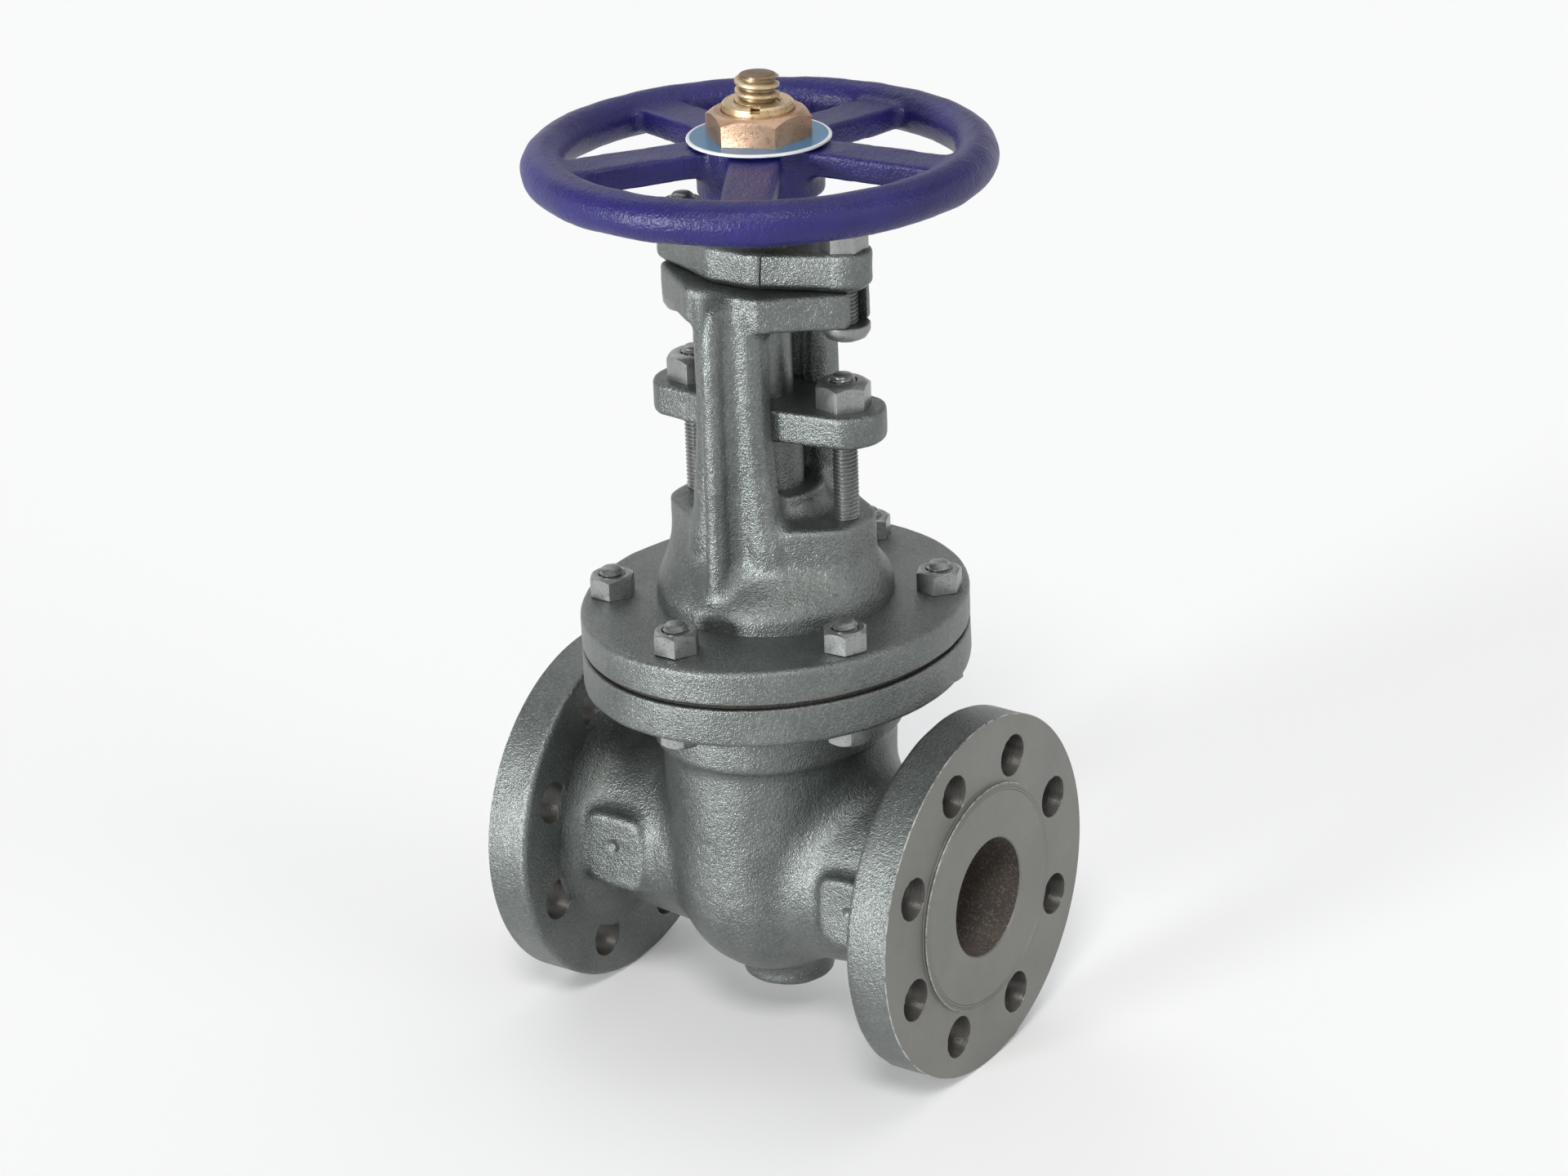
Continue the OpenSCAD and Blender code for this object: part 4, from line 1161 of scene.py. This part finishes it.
# %% [markdown]
# ## Bronze
# The stem, its sleeve and the handwheel nut are bronze of three colours: golden,
# pale and pinkish. Painted shade darkens the cast pits, and the thread is darker towards its root.


# %% Bronze finishes
def bronze_finish(name, dark, mid, pale, line_height=0.00006, root=None, pits=0.3, gloss=0.3):
    """Turned bronze, with painted shade in its pits. Root gives the inner and outer radius between which a
    thread darkens towards its root.
    """
    material, tree = new_material(name)
    radius, along = axis_distance(tree, "Z")
    rings = use_group(tree, lathe_lines, Radius=math_in(tree, "ADD", radius, along), Lines_per_Metre=2600.0)
    skin = use_group(tree, sandy_skin, Grain_Scale=1300.0, Pit_Depth=pits)
    tone = ramp_in(tree, skin["Patch"], [(0.3, dark), (0.5, mid), (0.72, pale)])
    # Painted shade darkens the hollows of the grain.
    tone = stained(tree, tone, skin["Painted Shade"], 0.6, tuple(c * 0.3 for c in dark))
    if root is not None:
        # The thread gets darker towards its root.
        inner, outer = root
        deep = math_in(tree, "DIVIDE", math_in(tree, "SUBTRACT", outer, radius), outer - inner, clamp=True)
        tone = stained(tree, tone, deep, 0.75, tuple(c * 0.22 for c in dark))
    under = bump_in(tree, skin["Height"], 0.00009)
    return dressed(material, tone, math_in(tree, "MULTIPLY_ADD", skin["Patch"], 0.2, gloss),
                   Metallic=0.9, Normal=bump_in(tree, rings["Height"], line_height, under))


stem_bronze = bronze_finish("stem_bronze_turned", (0.47, 0.33, 0.18), (0.66, 0.50, 0.31), (0.81, 0.66, 0.46),
                            root=(0.0074, 0.0094), gloss=0.34)
sleeve_bronze = bronze_finish("sleeve_bronze_turned", (0.50, 0.37, 0.20), (0.66, 0.51, 0.31),
                              (0.79, 0.65, 0.44))
nut_bronze = bronze_finish("nut_bronze_faced", (0.40, 0.245, 0.155), (0.52, 0.34, 0.225), (0.64, 0.45, 0.32),
                           pits=0.12, gloss=0.30)
trim_bronze = bronze_finish("trim_bronze_turned", (0.26, 0.19, 0.09), (0.36, 0.27, 0.13), (0.46, 0.35, 0.19))

# %% Stem
thread_r, thread_pitch, root_depth = 9.5, 4.2333, 1.9
plain_r, plain_top, plain_low = 11.1, 260.5, stem_low.z
stem_thread = threaded_rod(thread_r * 2, root_depth, thread_pitch, plain_top - 3, stem_high.z, 1.3, 0.28,
                           steps=64, left_hand=True, end_share=0.93)
stem_plain = spun([(0, plain_low), (plain_r - 0.6, plain_low), (plain_r, plain_low + 0.6),
                   (plain_r, plain_top - 1.6), (thread_r - root_depth, plain_top), (0, plain_top)], 72)
finish_piece(loose_object(stem_thread), "stem_threaded", stem_bronze, "stem_group", sharp=28)
finish_piece(loose_object(stem_plain), "stem_plain_part", smooth_paint, "stem_group",
             replaced=("stem",), sharp=28)

# %% Sleeve
shoulder_low, shoulder_high, shoulder_r, inner_thread_low = 303.5, hub_low, 20.2, 326
sleeve_r, sleeve_foot, sleeve_top = 15.25, sleeve_low.z, sleeve_high.z
sleeve = loose_object(spun([
    (plain_r + 0.1, sleeve_foot), (sleeve_r, sleeve_foot), (sleeve_r, collar_low), (collar_r, collar_low),
    (collar_r, collar_high), (sleeve_r, collar_high), (sleeve_r, shoulder_low),
    (shoulder_r - 0.4, shoulder_low), (shoulder_r, shoulder_low + 0.4), (shoulder_r, shoulder_high),
    (sleeve_r, shoulder_high), (sleeve_r, sleeve_top - 0.9), (sleeve_r - 0.9, sleeve_top),
    (thread_r + 1.0, sleeve_top), (thread_r + 0.1, sleeve_top - 0.9), (thread_r + 0.1, inner_thread_low),
    (plain_r + 0.1, inner_thread_low)], 96))
key_slot = Matrix.Rotation(math.radians(-60), 4, "Z") @ Matrix.Translation((14, 0, sleeve_top))
cut(sleeve, block(key_slot, (14, 4, 4.4)))
finish_piece(sleeve, "yoke_sleeve_turned", sleeve_bronze, "wheel_group",
             replaced=("yoke_sleeve",), sharp=30)

# %% Handwheel nut and identification plate
wheel_nut = loose_object(hex_blank(40.3, nut_low.z, nut_high.z, -8.5, bore=sleeve_r + 0.05, top_share=0.93))
finish_piece(wheel_nut, "handwheel_nut_faced", nut_bronze, "wheel_group",
             replaced=("handwheel_nut",))

plate_r, plate_base, plate_top = plate_high.x, plate_low.z, plate_high.z
plate_disc = spun([(sleeve_r + 0.1, plate_base), (plate_r - 0.3, plate_base), (plate_r, plate_base + 0.3),
                   (plate_r, plate_top - 0.35), (plate_r - 0.35, plate_top),
                   (sleeve_r + 0.1, plate_top)], 120)


def enamel_finish():
    """A blue disc with a pale edge, worn in places. No lettering."""
    material, tree = new_material("plate_enamel_blue")
    share = math_in(tree, "DIVIDE", axis_distance(tree, "Z")[0], plate_r * MM)
    bands = ramp_in(tree, share, [(0.0, (0.046, 0.175, 0.33)), (0.95, (0.72, 0.75, 0.76))], "CONSTANT")
    wear = noise_in(tree, object_place(tree), 420.0, 4.0, 0.65)
    tone = mix_in(tree, ramp_in(tree, wear, [(0.56, 0.0), (0.7, 0.3)]), bands, (0.30, 0.32, 0.33))
    return dressed(material, tone, math_in(tree, "MULTIPLY_ADD", wear, 0.2, 0.22),
                   Normal=bump_in(tree, wear, 0.00005))


finish_piece(loose_object(plate_disc), "identification_disc", enamel_finish(), "wheel_group",
             replaced=("identification_plate",), sharp=30)

# %% [markdown]
# ## Inside the ports
# The waterway is a rough cored hole, brown with light rust. It runs in as far as the
# bronze seat ring.

# %% Port walls
liner_r, liner_start, liner_end = 28.4, 32.0, half_length - 0.6
for side, wall_name in ((-1, "inlet_port_wall"), (1, "outlet_port_wall")):
    liner = spun([(bore_r + 0.02, liner_start), (liner_r, liner_start), (liner_r, liner_end),
                  (bore_r + 0.02, liner_end)], 96, axis="X", mirror_x=side < 0)
    finish_piece(loose_object(liner), wall_name, bore_rust, sharp=30)


# %% [markdown]
# ## Pieces kept from the model
# The gasket, the seat rings and the wedge keep their own meshes and get a finish.

# %% Materials for kept nodes
def gasket_finish():
    """Dark compressed sheet with brownish fibres."""
    material, tree = new_material("gasket_sheet_dark")
    fibre = noise_in(tree, object_place(tree), 800.0, 4.0, 0.7)
    tone = ramp_in(tree, fibre, [(0.35, (0.012, 0.012, 0.011)), (0.7, (0.05, 0.045, 0.038))])
    return dressed(material, tone, 0.85, Normal=bump_in(tree, fibre, 0.0002))


for node_name, material in (("bonnet_gasket", gasket_finish()), ("wedge", trim_bronze),
                            ("inlet_seat_ring", trim_bronze), ("outlet_seat_ring", trim_bronze)):
    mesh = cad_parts[node_name].data
    mesh.materials.clear()
    mesh.materials.append(material)

print("kept meshes: gasket, wedge and seat rings")

# %% [markdown]
# ## Finish
# The visual model has to stay within the imported model's box.

# %% Finish with the standard colour view
bpy.context.scene.view_settings.view_transform = "Standard"
